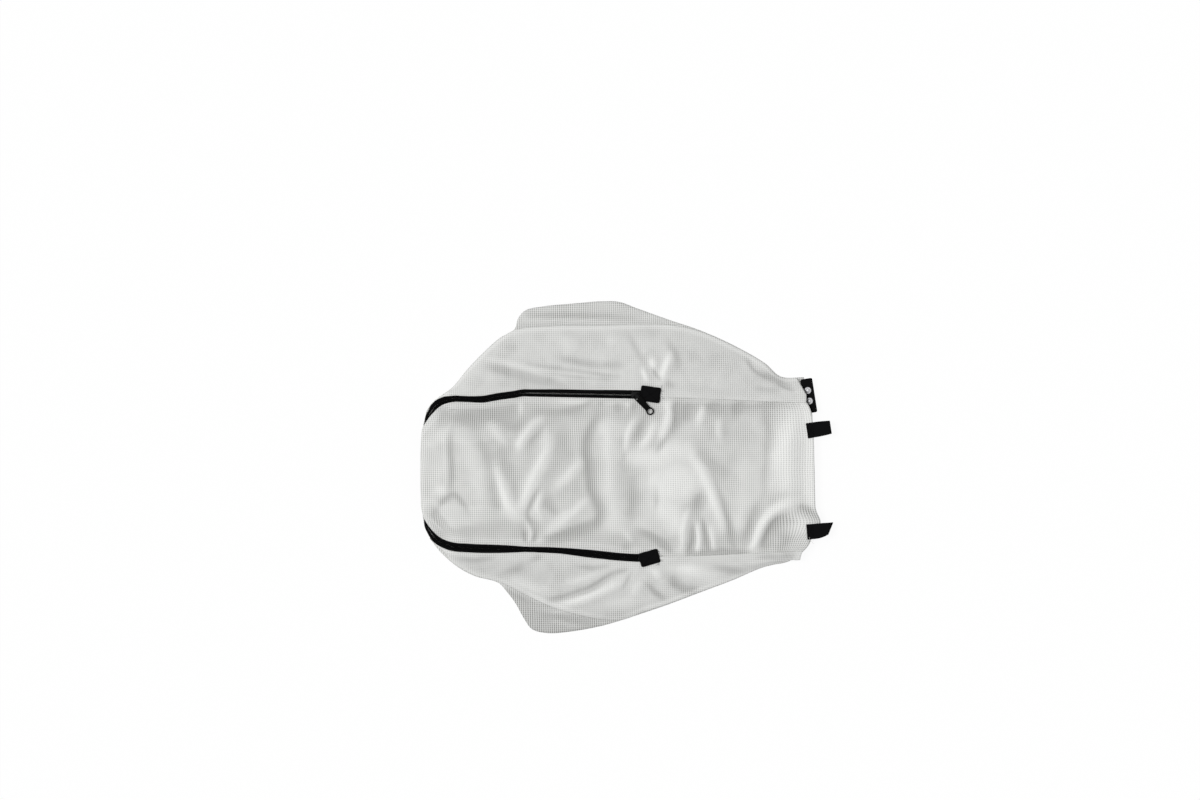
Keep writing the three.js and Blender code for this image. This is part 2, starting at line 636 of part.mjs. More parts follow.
function bail() {
  const half = BAIL_LENGTH / 2;
  const height = BAIL_WINDOW + BAIL_BAR;
  const shape = new THREE.Shape();
  shape.moveTo(-half, -0.4).lineTo(-half, height - 1).quadraticCurveTo(-half, height, -half + 1, height);
  shape.lineTo(half - 1, height).quadraticCurveTo(half, height, half, height - 1).lineTo(half, -0.4);
  shape.lineTo(half - BAIL_BAR, -0.4).lineTo(half - BAIL_BAR, BAIL_WINDOW);
  shape.lineTo(-half + BAIL_BAR, BAIL_WINDOW).lineTo(-half + BAIL_BAR, -0.4);
  const geometry = new THREE.ExtrudeGeometry(shape, { depth: BAIL_WIDTH, bevelEnabled: false, curveSegments: 3 });
  return geometry.rotateX(radians(90)).translate(0, BAIL_WIDTH / 2, SLIDER_TOP);
}

// The pull: a cross bar under the bail, two cheeks beside it, a tapering blade and a ringed end.
function zipPull() {
  const half = PULL_WIDTH / 2;
  const ring = PULL_LENGTH - PULL_RING / 2;
  const neck = half * 0.78;
  const shape = new THREE.Shape();
  shape.moveTo(-PULL_BAR / 2, -half).lineTo(8, -half).lineTo(ring - 6.5, -neck);
  shape.absarc(ring, 0, PULL_RING / 2, radians(-125), radians(125), false);
  shape.lineTo(ring - 6.5, neck).lineTo(8, half).lineTo(-PULL_BAR / 2, half);
  const slot = new THREE.Path();
  slot.moveTo(PULL_BAR / 2, -PULL_SLOT + 0.3).lineTo(PULL_BAR / 2, PULL_SLOT - 0.3);
  slot.lineTo(7.2, PULL_SLOT - 0.3).lineTo(7.2, -PULL_SLOT + 0.3);
  const hole = new THREE.Path();
  hole.absarc(ring, 0, PULL_HOLE / 2, 0, 2 * Math.PI, true);
  shape.holes.push(slot, hole);
  const blade = new THREE.ExtrudeGeometry(shape, { depth: PULL_THICK, bevelEnabled: false, curveSegments: 10 });
  blade.translate(0, 0, -PULL_THICK / 2).rotateZ(radians(PULL_TURN));
  blade.translate(0, 0, BAR_HEIGHT);
  return piece('zip_pull', placeOnRim(blade, SLIDER_X), 'enamel');
}

function roundedPlate(length, width, radius, depth) {
  const [a, b, r] = [length / 2, width / 2, radius];
  const shape = new THREE.Shape();
  shape.moveTo(-a + r, -b).lineTo(a - r, -b).quadraticCurveTo(a, -b, a, -b + r);
  shape.lineTo(a, b - r).quadraticCurveTo(a, b, a - r, b).lineTo(-a + r, b);
  shape.quadraticCurveTo(-a, b, -a, b - r).lineTo(-a, -b + r).quadraticCurveTo(-a, -b, -a + r, -b);
  return new THREE.ExtrudeGeometry(shape, { depth, bevelEnabled: false, curveSegments: 4 });
}

function zipEndTab(name, [x, y], turn) {
  const base = RIM_HEIGHT + TAPE / 2 + 2 * GAP + CLOTH;
  const plate = roundedPlate(TAB_LENGTH, TAB_WIDTH, 2.5, WEBBING).rotateZ(radians(turn));
  return piece(name, plate.translate(x, y, base), 'webbing');
}

// A folded webbing loop whose two ends hold the mouth hem between them.
function mouthLoop(name, y, turn) {
  const hemHeight = MOUTH_HEIGHT + (TAPE + CLOTH) / 2 + GAP;
  const inner = HEM / 2 + GAP;
  const outer = inner + WEBBING;
  const bend = LOOP_LENGTH - LOOP_SEWN - outer;
  const shape = new THREE.Shape();
  shape.moveTo(-LOOP_SEWN, inner).lineTo(-LOOP_SEWN, outer).lineTo(bend, outer);
  shape.absarc(bend, 0, outer, radians(90), radians(-90), true);
  shape.lineTo(-LOOP_SEWN, -outer).lineTo(-LOOP_SEWN, -inner).lineTo(bend, -inner);
  shape.absarc(bend, 0, inner, radians(-90), radians(90), false);
  const geometry = new THREE.ExtrudeGeometry(shape, { depth: LOOP_WIDTH, bevelEnabled: false, curveSegments: 8 });
  geometry.rotateX(radians(90)).translate(0, LOOP_WIDTH / 2, 0).rotateZ(radians(turn));
  return piece(name, geometry.translate(MOUTH_UPPER[0] + MOUTH_BULGE, y, hemHeight), 'webbing');
}

// Strip with two snap fasteners, sewn under the upper corner of the mouth.
const SNAP_PLACE = { x: 311, y: 134, z: 9.5, lean: 9, tilt: 14 };

function placeSnap(geometry) {
  geometry.rotateX(radians(SNAP_PLACE.tilt)).rotateZ(radians(-90 + SNAP_PLACE.lean));
  return geometry.translate(SNAP_PLACE.x, SNAP_PLACE.y, SNAP_PLACE.z);
}

function snapPieces() {
  const strip = roundedPlate(SNAP_TAB_LENGTH, SNAP_TAB_WIDTH, 3, WEBBING);
  const pieces = [piece('snap_tab', placeSnap(strip), 'webbing')];
  [-1, 1].forEach((side, k) => {
    const along = side * SNAP_SPACING / 2;
    const r = SNAP_DIAMETER / 2;
    const dome = [[0, 0], [r, 0], [r, 0.7], [r * 0.86, SNAP_HEIGHT * 0.6], [r * 0.5, SNAP_HEIGHT * 0.93], [0, SNAP_HEIGHT]];
    const back = [[0, -1], [r * 0.9, -1], [r, -0.6], [r, 0], [0, 0]];
    const turned = (profile, z) => {
      const geometry = new THREE.LatheGeometry(profile.map(([a, b]) => new THREE.Vector2(a, b)), 20);
      return placeSnap(geometry.rotateX(radians(90)).translate(along, 0, z));
    };
    pieces.push(piece(`snap_cap_${k + 1}`, turned(dome, WEBBING + GAP), 'steel'));
    pieces.push(piece(`snap_back_${k + 1}`, turned(back, -GAP), 'steel'));
  });
  return pieces;
}

const bag = new THREE.Group();
bag.name = 'mower_grass_bag';
bag.add(
  bottomPanel(),
  sidePanel('side_panel_upper', SIDE_UPPER_EDGE, upperStation, 14),
  sidePanel('side_panel_lower', SIDE_LOWER_EDGE, lowerStation, 1),
  topPanel(),
  zipTape('zip_tape_outer', 1),
  zipTape('zip_tape_inner', -1),
  zipTeeth('zip_teeth_outer', 1),
  zipTeeth('zip_teeth_inner', -1),
  zipSlider(),
  zipPull(),
  zipEndTab('zip_end_tab_upper', TAB_UPPER, -6),
  zipEndTab('zip_end_tab_lower', TAB_LOWER, 13),
  mouthLoop('mouth_loop_upper', 78, 4),
  mouthLoop('mouth_loop_lower', -91, 3),
  ...snapPieces(),
);

export default bag;
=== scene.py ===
"""Dresses the frame of an empty mower grass bag: mesh cloth, zip, webbing, snaps and studio."""
import math

import bpy
import numpy as np
from bpy.props import FloatProperty, FloatVectorProperty, IntProperty, PointerProperty
from mathutils import Matrix, Vector, noise


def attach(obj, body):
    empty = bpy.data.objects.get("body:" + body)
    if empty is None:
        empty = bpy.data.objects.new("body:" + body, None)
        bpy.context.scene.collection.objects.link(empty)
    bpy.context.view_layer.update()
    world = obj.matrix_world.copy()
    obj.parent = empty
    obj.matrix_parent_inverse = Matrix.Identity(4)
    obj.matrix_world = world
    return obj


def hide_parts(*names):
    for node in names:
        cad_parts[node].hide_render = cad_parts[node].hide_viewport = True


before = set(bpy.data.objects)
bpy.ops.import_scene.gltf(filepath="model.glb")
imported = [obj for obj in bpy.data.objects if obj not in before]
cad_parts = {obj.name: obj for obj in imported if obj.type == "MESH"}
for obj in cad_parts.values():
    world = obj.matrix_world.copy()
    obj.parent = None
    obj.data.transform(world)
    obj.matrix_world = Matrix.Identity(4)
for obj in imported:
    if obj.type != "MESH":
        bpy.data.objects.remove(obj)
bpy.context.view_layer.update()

bl_info = {
    "name": "Mower grass bag",
    "version": (1, 0, 0),
    "blender": (4, 5, 0),
    "location": "View3D > Sidebar > Grass bag",
    "description": "Mesh cloth, zip, webbing and snaps of a flat-lying grass bag",
    "category": "Object",
}

BODY = "bag"
MM = 0.001

# Lengths and places are in millimetres, in the frame's own axes, unless a line says otherwise.
# The rim line that the part's source also uses: seam, zip, rounded end, zip, seam.
MOUTH_UPPER = (306, 124)
MOUTH_LOWER = (310, -124)
TAB_UPPER = (50.5, 134.6)
TAB_LOWER = (48, -132.8)
SEAM_START_X = 75
RUN_END = (-160, 138.7)
RIM_HEIGHT = 22
MOUTH_HEIGHT = 17
MOUTH_DROP_X = 110
END_HEIGHT = 11.5
END_X = -323.5
DIP_START_X = -262
CORNER_UPPER = (-309.5, 110)
CORNER_LOWER = (-309, -97.5)
ROUND_END = [
    RUN_END, (-178, 135.6), (-202, 132.4), (-224, 128.4), (-250, 128.4), (-278, 128.6),
    (-299, 121.5), (-313, 104.5), (-321.5, 80), (END_X, 50), (END_X, -30), (-321.5, -62),
    (-314.5, -86.5), (-301, -103.5), (-280, -113), (-245, -116.5), (-150, -118.5), (-99, -120.5),
    (-50, -125.5), (10, -131.5), (SEAM_START_X, -133.6),
]
RIM_POINTS = 2401
TANGENT_REACH = 3
# The tape stays flat round both corners and rolls over the straight end between these places.
ROLL_PLACES = ((-286, 127), (END_X, 66), (END_X, -46), (-288, -110.5))
NARROW_X = (-264, -278)
WALL_X = (-280, -294)

# Half the width of zip that shows between the panels, along the upper and the lower run.
SHOWN_UPPER = (
    (-326, 7), (-312, 7), (-300, 6.2), (-290, 5.6), (-275, 5.3), (-250, 4.8), (-225, 5.7),
    (-200, 5.8), (-50, 5.7), (0, 6.4), (30, 6.4),
)
SHOWN_LOWER = (
    (-326, 7.2), (-310, 7.2), (-300, 6.8), (-275, 7.2), (-225, 7.2), (-200, 6.8), (-175, 5.7),
    (-152, 4.3), (-125, 4.7), (-100, 4.9), (-50, 6.5), (20, 6.4),
)
# The upper band shows this much further out, and the top panel leaves the slider its room.
SHOWN_SHIFT = 1.4
SHIFT_X = (-175, -90)
SLIDER_LANE_X = -175
SLIDER_ROOM = 5.9

CLOTH = 1.0
BOTTOM_CLOTH = 1.2
HEM = 2.2
HEM_ROWS = 5
ROLLED_SEAM = 1.8
SEAM_LAP = 2.6
GAP = 0.3
TAPE = 0.8
ROLL_SLACK = 2.0
TAPE_INNER = 1.0
TAPE_OUTER = 9.5
TAPE_CORNER = 6.0
TAPE_CORNER_INNER = 7.6
FLOOR_CLEARANCE = 0.7
WALL_SLANT = 0.7
WALL_SIDE = TAPE_CORNER + GAP + CLOTH / 2 + WALL_SLANT
WALL_DROP = 1.8
EDGE_Z = BOTTOM_CLOTH + GAP + CLOTH / 2
RING = (10.5, 17, 25)
END_RADIUS = 7
MOUTH_BULGE = 13
CROWN = 3
LONG_CELLS = 44
ARM_SPREAD = 1.2
WIDE_CELLS = 16
SIDE_CELLS = 8
BOTTOM_CELLS = (200, 110)
SIDE_FINER = (6, 7)
TOP_FINER = (6, 6)

SIDE_UPPER_EDGE = [
    (-322, 96), (-304, 126), (-277, 146), (-251, 177), (-224, 205), (-198, 228), (-171, 243),
    (-110, 249), (-30, 250), (40, 252), (90, 250), (132, 240), (185, 217), (238, 187), (264, 164),
    (303, 163),
]
SIDE_LOWER_EDGE = [
    (-322, -80), (-304, -112), (-277, -139), (-238, -162), (-198, -173), (-160, -192),
    (-110, -215), (-50, -232), (0, -236), (40, -222), (79, -209), (132, -189), (185, -169),
    (238, -147), (290, -136), (309, -126),
]
# The bottom panel's outline in four runs: upper edge, mouth edge, lower edge, and a straight end.
BOTTOM_UPPER = [
    (-325, 70), (-318.5, 110), (-304, 127.5), (-277, 147.5), (-251, 178.5), (-224, 206.5),
    (-198, 229.5), (-174, 244), (-168, 262), (-156, 275), (-130, 281), (-79, 286), (-26, 290),
    (0, 288.5), (26, 279), (79, 260), (132, 242), (185, 218.5), (238, 188.5), (266, 165.5),
    (303, 164.5),
]
BOTTOM_MOUTH = [(303, 164.5), (315, 120), (319, 60), (320, -40), (319, -95), (311, -127)]
BOTTOM_LOWER = [
    (-325, -55), (-319, -90), (-305, -113), (-290, -130), (-264, -151), (-238, -164),
    (-201, -174.5), (-186, -190), (-172, -209), (-158, -234), (-145, -251), (-119, -257.5),
    (-79, -254.5), (-26, -244.5), (26, -228.5), (79, -210.5), (132, -190.5), (185, -170.5),
    (238, -148.5), (290, -137.5), (311, -127),
]

# A fold keeps this share of its rise at its ends; the powers shape its fall along and across it.
FOLD_END_SHARE = 0.3
FOLD_END_POWER = 0.7
FOLD_POWER = 1.9
# How often the cloth's height is smoothed to find its crests, and the painted light and shade they
# get.
CREST_PASSES = 60
CREST_HEIGHT = 4
CREST_RANGE = (-0.2, 0.3)

# Sewn-on webbing. Each tab over the zip's ends: word, place, turn in degrees, width and seed.
WEBBING = 1.6
TAB_LENGTH = 33
TAB_CORNER = 3
TABS = (("upper", (49.7, 136.4), -8, 25.6, 2.1), ("lower", (48, -132.4), 16, 23.2, 6.7))
# Each loop at the mouth: word, y, turn in degrees, slant, curl, narrowing and sideways shift.
LOOP_WIDTH = 25
LOOP_LENGTH = 40
LOOP_SEWN = 12
LOOPS = (("upper", 78, 9, 0.0, 1.2, 0.14, 0.0), ("lower", -89, 5, 0.42, -0.8, 0.26, 2.6))
BOX_STITCH = 2.6
# The strip with two snaps.
SNAP_PLACE = (311, 134, 9.5)
SNAP_LEAN = 9
SNAP_TILT = 14
SNAP_DIAMETER = 11.6
SNAP_SPACING = 17.6
SNAP_HEIGHT = 2.6

# The stage, in metres and degrees.
FLOOR_SIZE = 60
FLOOR_Z = -0.0004
FLOOR_GLOW = 0.94
LAMP_DIRECTION = (0.6, -0.12, -1.05)
LAMP_SPREAD = 24
CAMERA_PLACE = (-0.033, 0.127)
SENSOR_WIDTH = 36
CAMERA_REACH = 50

# Folds and creases: line, rise, shading, and spread to the left and right of the line. Shading
# above 0 is painted light where the weave closes up, below 0 painted shade where the cloth sinks
# and opens.
# A line with no rise paints light or shade alone.
TOP_FOLDS = [
    ([(-299, 95), (-296, 50), (-294, 10), (-300, -32)], 3.0, 0.2, 18, 14),
    ([(-275, 82), (-278, 45), (-275, 12), (-277, -20)], -1.6, -0.7, 6, 7),
    ([(-250, 62), (-240, 20), (-231, -20), (-228, -52)], 1.8, 0.3, 20, 20),
    ([(-238, 82), (-221, 45), (-207, 8), (-203, -30), (-200, -62)], -1.5, -0.5, 11, 11),
    ([(-309, -66), (-292, -42), (-272, -29), (-256, -44), (-246, -62)], -1.5, -0.6, 5, 6),
    ([(-302, -24), (-284, -20)], 1.5, 0.4, 9, 9),
    ([(-300, -86), (-270, -78), (-240, -74)], 2.0, 0.15, 9, 9),
    ([(-289, 103), (-262, 100), (-235, 103), (-200, 105), (-170, 113)], -2.0, -0.9, 10, 11),
    ([(-163, 124), (-163, 102)], 1.5, 0.8, 5, 5),
    ([(-102, 126), (-75, 124), (-55, 127)], 1.2, 0.5, 5, 6),
    ([(-142, 109), (-110, 108), (-80, 110), (-60, 117), (-46, 125)], -1.6, -0.7, 5, 6),
    ([(-36, 118), (-28, 124)], -1.0, -0.4, 6, 6),
    ([(-6, 122), (-2, 106)], -1.2, -0.7, 7, 7),
    ([(12, 124), (13, 112)], 1.0, 0.5, 4, 4),
    ([(24, 124), (22, 108)], -1.0, -0.6, 5, 5),
    ([(-217, 93), (-202, 76), (-187, 57)], 3.0, 0.5, 8, 8),
    ([(-192, 92), (-174, 84), (-160, 90)], -1.5, -0.5, 10, 10),
    ([(-198, 48), (-186, 22), (-172, 4)], -1.5, -0.4, 14, 16),
    ([(-126, 100), (-146, 82), (-160, 62), (-166, 46)], 4.0, 0.85, 8, 8),
    ([(-124, 84), (-136, 66), (-148, 50)], -1.5, -0.2, 6, 6),
    ([(-204, 20), (-193, -14), (-182, -42), (-168, -64)], 6.0, 1.1, 10, 11),
    ([(-114, 76), (-122, 38), (-137, 6), (-152, -28), (-160, -54)], 5.0, 0.6, 14, 12),
    ([(-172, 0), (-166, -22), (-163, -36)], -1.5, 0.0, 7, 7),
    ([(-134, -20), (-146, -44), (-151, -62), (-140, -80)], -2.2, -0.6, 5, 5),
    ([(-127, -26), (-134, -48), (-128, -68)], 2.5, 0.5, 6, 6),
    ([(-120, -32), (-112, -50), (-102, -62)], -1.8, -0.45, 9, 9),
    ([(-152, -74), (-146, -92), (-150, -104)], 2.5, 0.5, 4, 5),
    ([(-158, -88), (-154, -106)], -2.0, -0.9, 4, 4),
    ([(-136, -84), (-138, -98), (-142, -106)], -2.0, -0.7, 4, 4),
    ([(-60, 30), (-80, 6), (-106, -18)], 3.0, 0.35, 9, 10),
    ([(-52, -36), (-78, -62), (-104, -82), (-132, -101)], 4.0, 0.35, 9, 9),
    ([(-30, -70), (-60, -86), (-90, -97), (-118, -106)], -2.5, -1.0, 9, 10),
    ([(-100, 86), (-92, 50), (-88, 18)], -1.0, -0.25, 18, 18),
    ([(-34, 104), (-48, 78), (-54, 46), (-49, 14), (-46, -20), (-33, -52), (-35, -76)],
     -2.5, -1.0, 8, 9),
    ([(-8, 126), (-14, 95), (-15, 60), (-14, 20), (-13, -20), (-6, -55), (-1, -92)],
     5.5, 0.15, 20, 15),
    ([(5, 74), (8, 40), (5, 8)], -0.8, 0.1, 6, 6),
    ([(22, 6), (24, -30), (19, -72)], -1.5, -0.35, 11, 11),
    ([(24, 97), (14, 72), (9, 46)], 2.0, 0.75, 5, 5),
    ([(42, 100), (34, 82), (27, 64)], -1.8, -0.75, 7, 7),
    ([(56, 90), (48, 66), (34, 50)], 2.5, 0.7, 7, 6),
    ([(79, 130), (80, 96), (69, 62)], 3.0, 0.85, 8, 9),
    ([(80, 74), (68, 52), (58, 38)], -1.5, -0.5, 6, 6),
    ([(92, 124), (93, 96), (84, 72)], -2.0, -1.0, 9, 8),
    ([(112, 122), (108, 90)], -1.5, -0.6, 10, 10),
    ([(138, 120), (134, 104), (130, 90)], 2.5, 0.65, 7, 7),
    ([(146, 120), (164, 112)], -1.5, -0.8, 8, 9),
    ([(163, 94), (164, 62)], 2.0, 0.55, 6, 6),
    ([(198, 124), (190, 104)], -1.5, -1.0, 9, 9),
    ([(128, 62), (138, 34), (162, 14), (184, 4)], -1.6, -0.35, 12, 14),
    ([(242, 112), (247, 70), (243, 30), (241, 0), (236, -32)], -1.8, -0.3, 7, 8),
    ([(288, 112), (276, 60), (272, 20), (276, -26)], 5.0, 1.0, 22, 22),
    ([(300, 112), (300, 60), (301, 0), (304, -30)], 0.0, 1.0, 16, 16),
    ([(118, 6), (150, -20), (158, -70)], 0.0, 0.4, 22, 22),
    ([(82, -36), (104, 22)], 0.0, 0.6, 20, 20),
    ([(206, 34), (200, -20), (192, -90)], 0.0, 0.45, 15, 15),
    ([(240, 60), (238, 0), (222, -60)], 0.0, 0.3, 16, 16),
    ([(160, 92), (170, 62)], 0.0, -0.4, 18, 18),
    ([(92, 119), (150, 118), (210, 117), (290, 117)], -0.3, -0.6, 4, 9),
    ([(112, -124), (150, -126), (206, -125)], 0.0, -1.3, 7, 5),
    ([(303, 110), (306, 0), (306, -52)], 0.0, 1.5, 14, 14),
    ([(277, -74), (272, -98)], 0.0, 0.8, 15, 15),
    ([(70, 14), (90, -38)], 0.0, 0.45, 34, 34),
    ([(-272, 86), (-190, 80), (-110, 82), (-60, 84)], 0.0, -0.45, 20, 20),
    ([(262, 130), (236, 122)], -1.0, -0.6, 8, 8),
    ([(12, 40), (30, 32), (62, 34), (100, 44), (124, 34)], 2.5, 0.8, 18, 18),
    ([(44, -8), (84, -10), (122, -20)], 3.0, 0.85, 24, 22),
    ([(58, -52), (84, -60), (98, -96)], 3.0, 0.75, 18, 20),
    ([(122, 32), (142, 2), (158, -38), (172, -80)], 4.0, 0.8, 10, 9),
    ([(60, -12), (62, -58)], -1.0, -0.3, 6, 6),
    ([(148, 8), (168, -40), (181, -82), (190, -116)], -2.5, -0.75, 7, 7),
    ([(133, -26), (127, -54)], -3.0, -0.9, 11, 10),
    ([(122, -80), (120, -106), (111, -130)], -2.5, -1.0, 5, 5),
    ([(112, -56), (106, -84), (102, -118)], 3.5, 0.3, 6, 6),
    ([(127, -78), (130, -104), (128, -130)], 4.0, 0.9, 5, 5),
    ([(136, -70), (143, -100), (147, -124)], -2.5, -0.9, 4, 4),
    ([(150, -84), (156, -122)], 3.0, 0.4, 6, 6),
    ([(160, -119), (182, -129), (204, -130)], -1.0, -1.0, 8, 8),
    ([(292, -40), (264, -50), (240, -72), (226, -102), (214, -138)], 7.0, 1.0, 8, 9),
    ([(262, -66), (246, -86), (238, -118)], -3.0, -0.8, 9, 9),
    ([(262, -72), (272, -100), (262, -126)], -2.0, -0.7, 14, 14),
    ([(284, -66), (297, -92)], 2.0, 0.6, 7, 7),
    ([(283, -43), (296, -54), (307, -68)], -2.5, -1.0, 6, 6),
    ([(228, -46), (215, -78), (206, -112)], -2.0, -0.55, 9, 9),
    ([(30, -86), (52, -97), (72, -110), (86, -123)], -2.0, -1.0, 6, 7),
    ([(8, -90), (22, -108)], 2.0, 0.3, 6, 6),
    ([(2, -114), (18, -114)], -1.0, -0.5, 6, 6),
]
SIDE_FOLDS = [
    ([(-216, 182), (-180, 173), (-145, 163), (-104, 155)], -2.5, -0.9, 8, 9),
    ([(-222, 196), (-180, 188), (-140, 178), (-100, 168)], 2.5, 0.0, 6, 7),
    ([(-98, 196), (-70, 190), (-40, 185), (2, 184)], -2.0, -0.55, 7, 7),
    ([(-152, 186), (-92, 178), (-32, 169), (0, 165)], -1.5, -0.4, 4, 4),
    ([(-132, 172), (-62, 164), (-12, 160)], -1.2, -0.3, 3, 3),
    ([(-120, 240), (-92, 226), (-70, 208)], 1.5, 0.1, 18, 18),
    ([(-20, 232), (-4, 220)], 1.0, 0.1, 14, 14),
    ([(-190, 216), (-168, 214)], -1.0, -0.3, 8, 8),
    ([(16, 236), (29, 210), (38, 190)], -1.5, -0.4, 6, 6),
    ([(78, 228), (92, 204), (100, 180)], -1.5, -0.45, 7, 7),
    ([(84, 202), (77, 182), (70, 163)], 5.0, 1.0, 7, 7),
    ([(52, 196), (58, 180)], 3.0, 0.7, 6, 6),
    ([(38, 178), (46, 158)], 3.0, 0.6, 4, 4),
    ([(55, 177), (68, 158)], -2.0, -0.6, 3, 3),
    ([(76, 156), (90, 149)], -1.0, -0.5, 6, 6),
    ([(128, 160), (176, 164), (212, 162)], 1.5, -0.15, 14, 14),
    ([(236, 171), (262, 158), (284, 147)], -2.5, -1.0, 7, 7),
    ([(210, 194), (222, 176), (242, 164)], -2.0, -0.6, 4, 4),
    ([(216, 200), (240, 184), (258, 168)], 2.5, 0.3, 6, 7),
    ([(222, 146), (264, 142)], -1.0, -0.5, 5, 5),
    ([(261, 153), (272, 148), (284, 143)], -1.0, -1.3, 2.5, 2.5),
    ([(-264, -134), (-236, -137), (-208, -133)], -1.5, -1.1, 5, 5),
    ([(-192, -161), (-170, -151), (-154, -145)], -2.0, -0.6, 8, 8),
    ([(-148, -138), (-128, -130)], -1.0, -0.6, 6, 6),
    ([(-182, -170), (-150, -182), (-112, -188)], 3.0, 0.5, 13, 13),
    ([(-118, -204), (-92, -198), (-68, -190), (-50, -184), (-32, -173), (-12, -160), (12, -152)],
     -3.0, -1.1, 5, 5),
    ([(-114, -218), (-84, -210), (-52, -199), (-24, -187), (4, -173)], 4.5, 0.5, 8, 8),
    ([(-90, -176), (-56, -168), (-32, -158)], 3.0, 0.3, 8, 8),
    ([(-72, -147), (-45, -149), (-18, -146)], -1.0, -0.5, 4, 4),
    ([(20, -156), (5, -184)], -1.2, -0.35, 4, 4),
    ([(22, -196), (36, -170)], 2.0, 0.25, 10, 10),
    ([(46, -176), (60, -191), (74, -202)], -2.0, -0.8, 5, 5),
    ([(82, -163), (96, -178), (122, -190)], -3.0, -1.1, 9, 9),
    ([(132, -182), (112, -187)], -1.0, -0.6, 9, 9),
    ([(92, -148), (125, -156), (162, -168)], 2.5, 0.9, 11, 11),
    ([(80, -188), (150, -174), (225, -152)], 0.0, 0.5, 12, 12),
    ([(-240, -138), (-120, -163), (-30, -170)], 0.0, -0.35, 28, 28),
    ([(-232, 152), (-130, 154), (-10, 152)], 0.0, -0.4, 9, 9),
    ([(110, 205), (155, 180)], 0.0, -0.3, 24, 24),
    ([(20, 246), (66, 234)], 0.0, -0.3, 12, 12),
    ([(-190, 200), (-240, 160)], 0.0, -0.2, 16, 16),
    ([(-34, -208), (44, -202)], 0.0, 0.4, 9, 9),
    ([(-130, -222), (-60, -231), (10, -231), (44, -224)], 0.0, -0.7, 9, 9),
    ([(-200, -186), (-150, -190)], 0.0, -0.5, 10, 10),
    ([(228, -131), (262, -131), (300, -129)], 0.0, -0.9, 6, 6),
    ([(153, -147), (180, -152), (208, -157)], -2.0, -0.85, 7, 7),
    ([(215, -142), (250, -138)], 1.0, 0.4, 5, 5),
    ([(56, -150), (66, -168)], 2.0, 0.35, 7, 7),
]
UNDER_FOLDS = [
    ([(-152, 266), (-100, 266), (-50, 265), (22, 262)], -0.5, -0.8, 5, 5),
    ([(-155, 258), (-60, 257), (30, 254)], 1.5, 0.15, 5, 5),
    ([(-186, -186), (-160, -201), (-130, -214), (-104, -216)], -0.5, -0.6, 4, 4),
    ([(-126, -226), (-95, -231), (-60, -236), (-10, -238)], -0.5, -0.8, 7, 7),
    ([(-150, -206), (-115, -222), (-85, -224)], 2.5, 0.5, 4, 5),
    ([(-112, -236), (-70, -246)], 2.0, 0.4, 4, 4),
]


# Plan curves and the rim line.
def centripetal(points, per_span=60):
    """Points on a smooth curve through the given ones, without overshoot between close ones."""
    p = np.array(points, float)
    p = np.vstack([2 * p[0] - p[1], p, 2 * p[-1] - p[-2]])
    t = np.linspace(0, 1, per_span, endpoint=False)[:, None]
    out = []
    for k in range(1, len(p) - 2):
        p0, p1, p2, p3 = p[k - 1:k + 3]
        d0, d1, d2 = (math.sqrt(np.linalg.norm(b - a)) for a, b in ((p0, p1), (p1, p2), (p2, p3)))
        t1 = ((p1 - p0) / d0 - (p2 - p0) / (d0 + d1) + (p2 - p1) / d1) * d1
        t2 = ((p2 - p1) / d1 - (p3 - p1) / (d1 + d2) + (p3 - p2) / d2) * d1
        step = p2 - p1
        out.append(p1 + t1 * t + (3 * step - 2 * t1 - t2) * t ** 2 + (t1 + t2 - 2 * step) * t ** 3)
    return np.vstack([*out, p[-2][None]])


def even_spaced(points, count):
    """The same line with evenly spaced points."""
    run = np.concatenate([[0], np.cumsum(np.linalg.norm(np.diff(points, axis=0), axis=1))])
    at = np.linspace(0, run[-1], count)
    return np.stack([np.interp(at, run, points[:, k]) for k in range(points.shape[1])], axis=1)


def rim_points():
    slope = (RUN_END[1] - TAB_UPPER[1]) / (RUN_END[0] - TAB_UPPER[0])
    seam_upper = (SEAM_START_X, TAB_UPPER[1] + slope * (SEAM_START_X - TAB_UPPER[0]))
    line = np.vstack([[MOUTH_UPPER], [seam_upper], centripetal(ROUND_END), [MOUTH_LOWER]])
    return even_spaced(line, RIM_POINTS)


RIM = rim_points()
RIM_LENGTH = float(np.linalg.norm(np.diff(RIM, axis=0), axis=1).sum())


def ramp(a, b, x):
    t = np.clip((np.asarray(x, float) - a) / (b - a), 0, 1)
    return t * t * (3 - 2 * t)


def rim_at(s):
    at = np.clip(np.asarray(s, float) / RIM_LENGTH, 0, 1) * (len(RIM) - 1)
    return np.stack([np.interp(at, np.arange(len(RIM)), RIM[:, k]) for k in range(2)], axis=-1)


def station_near(place):
    nearest = np.argmin(np.hypot(RIM[:, 0] - place[0], RIM[:, 1] - place[1]))
    return float(nearest) / (len(RIM) - 1) * RIM_LENGTH


S_ROLL = [station_near(place) for place in ROLL_PLACES]
S_CORNER_UPPER = station_near(CORNER_UPPER)
S_CORNER_LOWER = station_near(CORNER_LOWER)
S_TAB_UPPER = station_near(TAB_UPPER)
S_TAB_LOWER = station_near(TAB_LOWER)


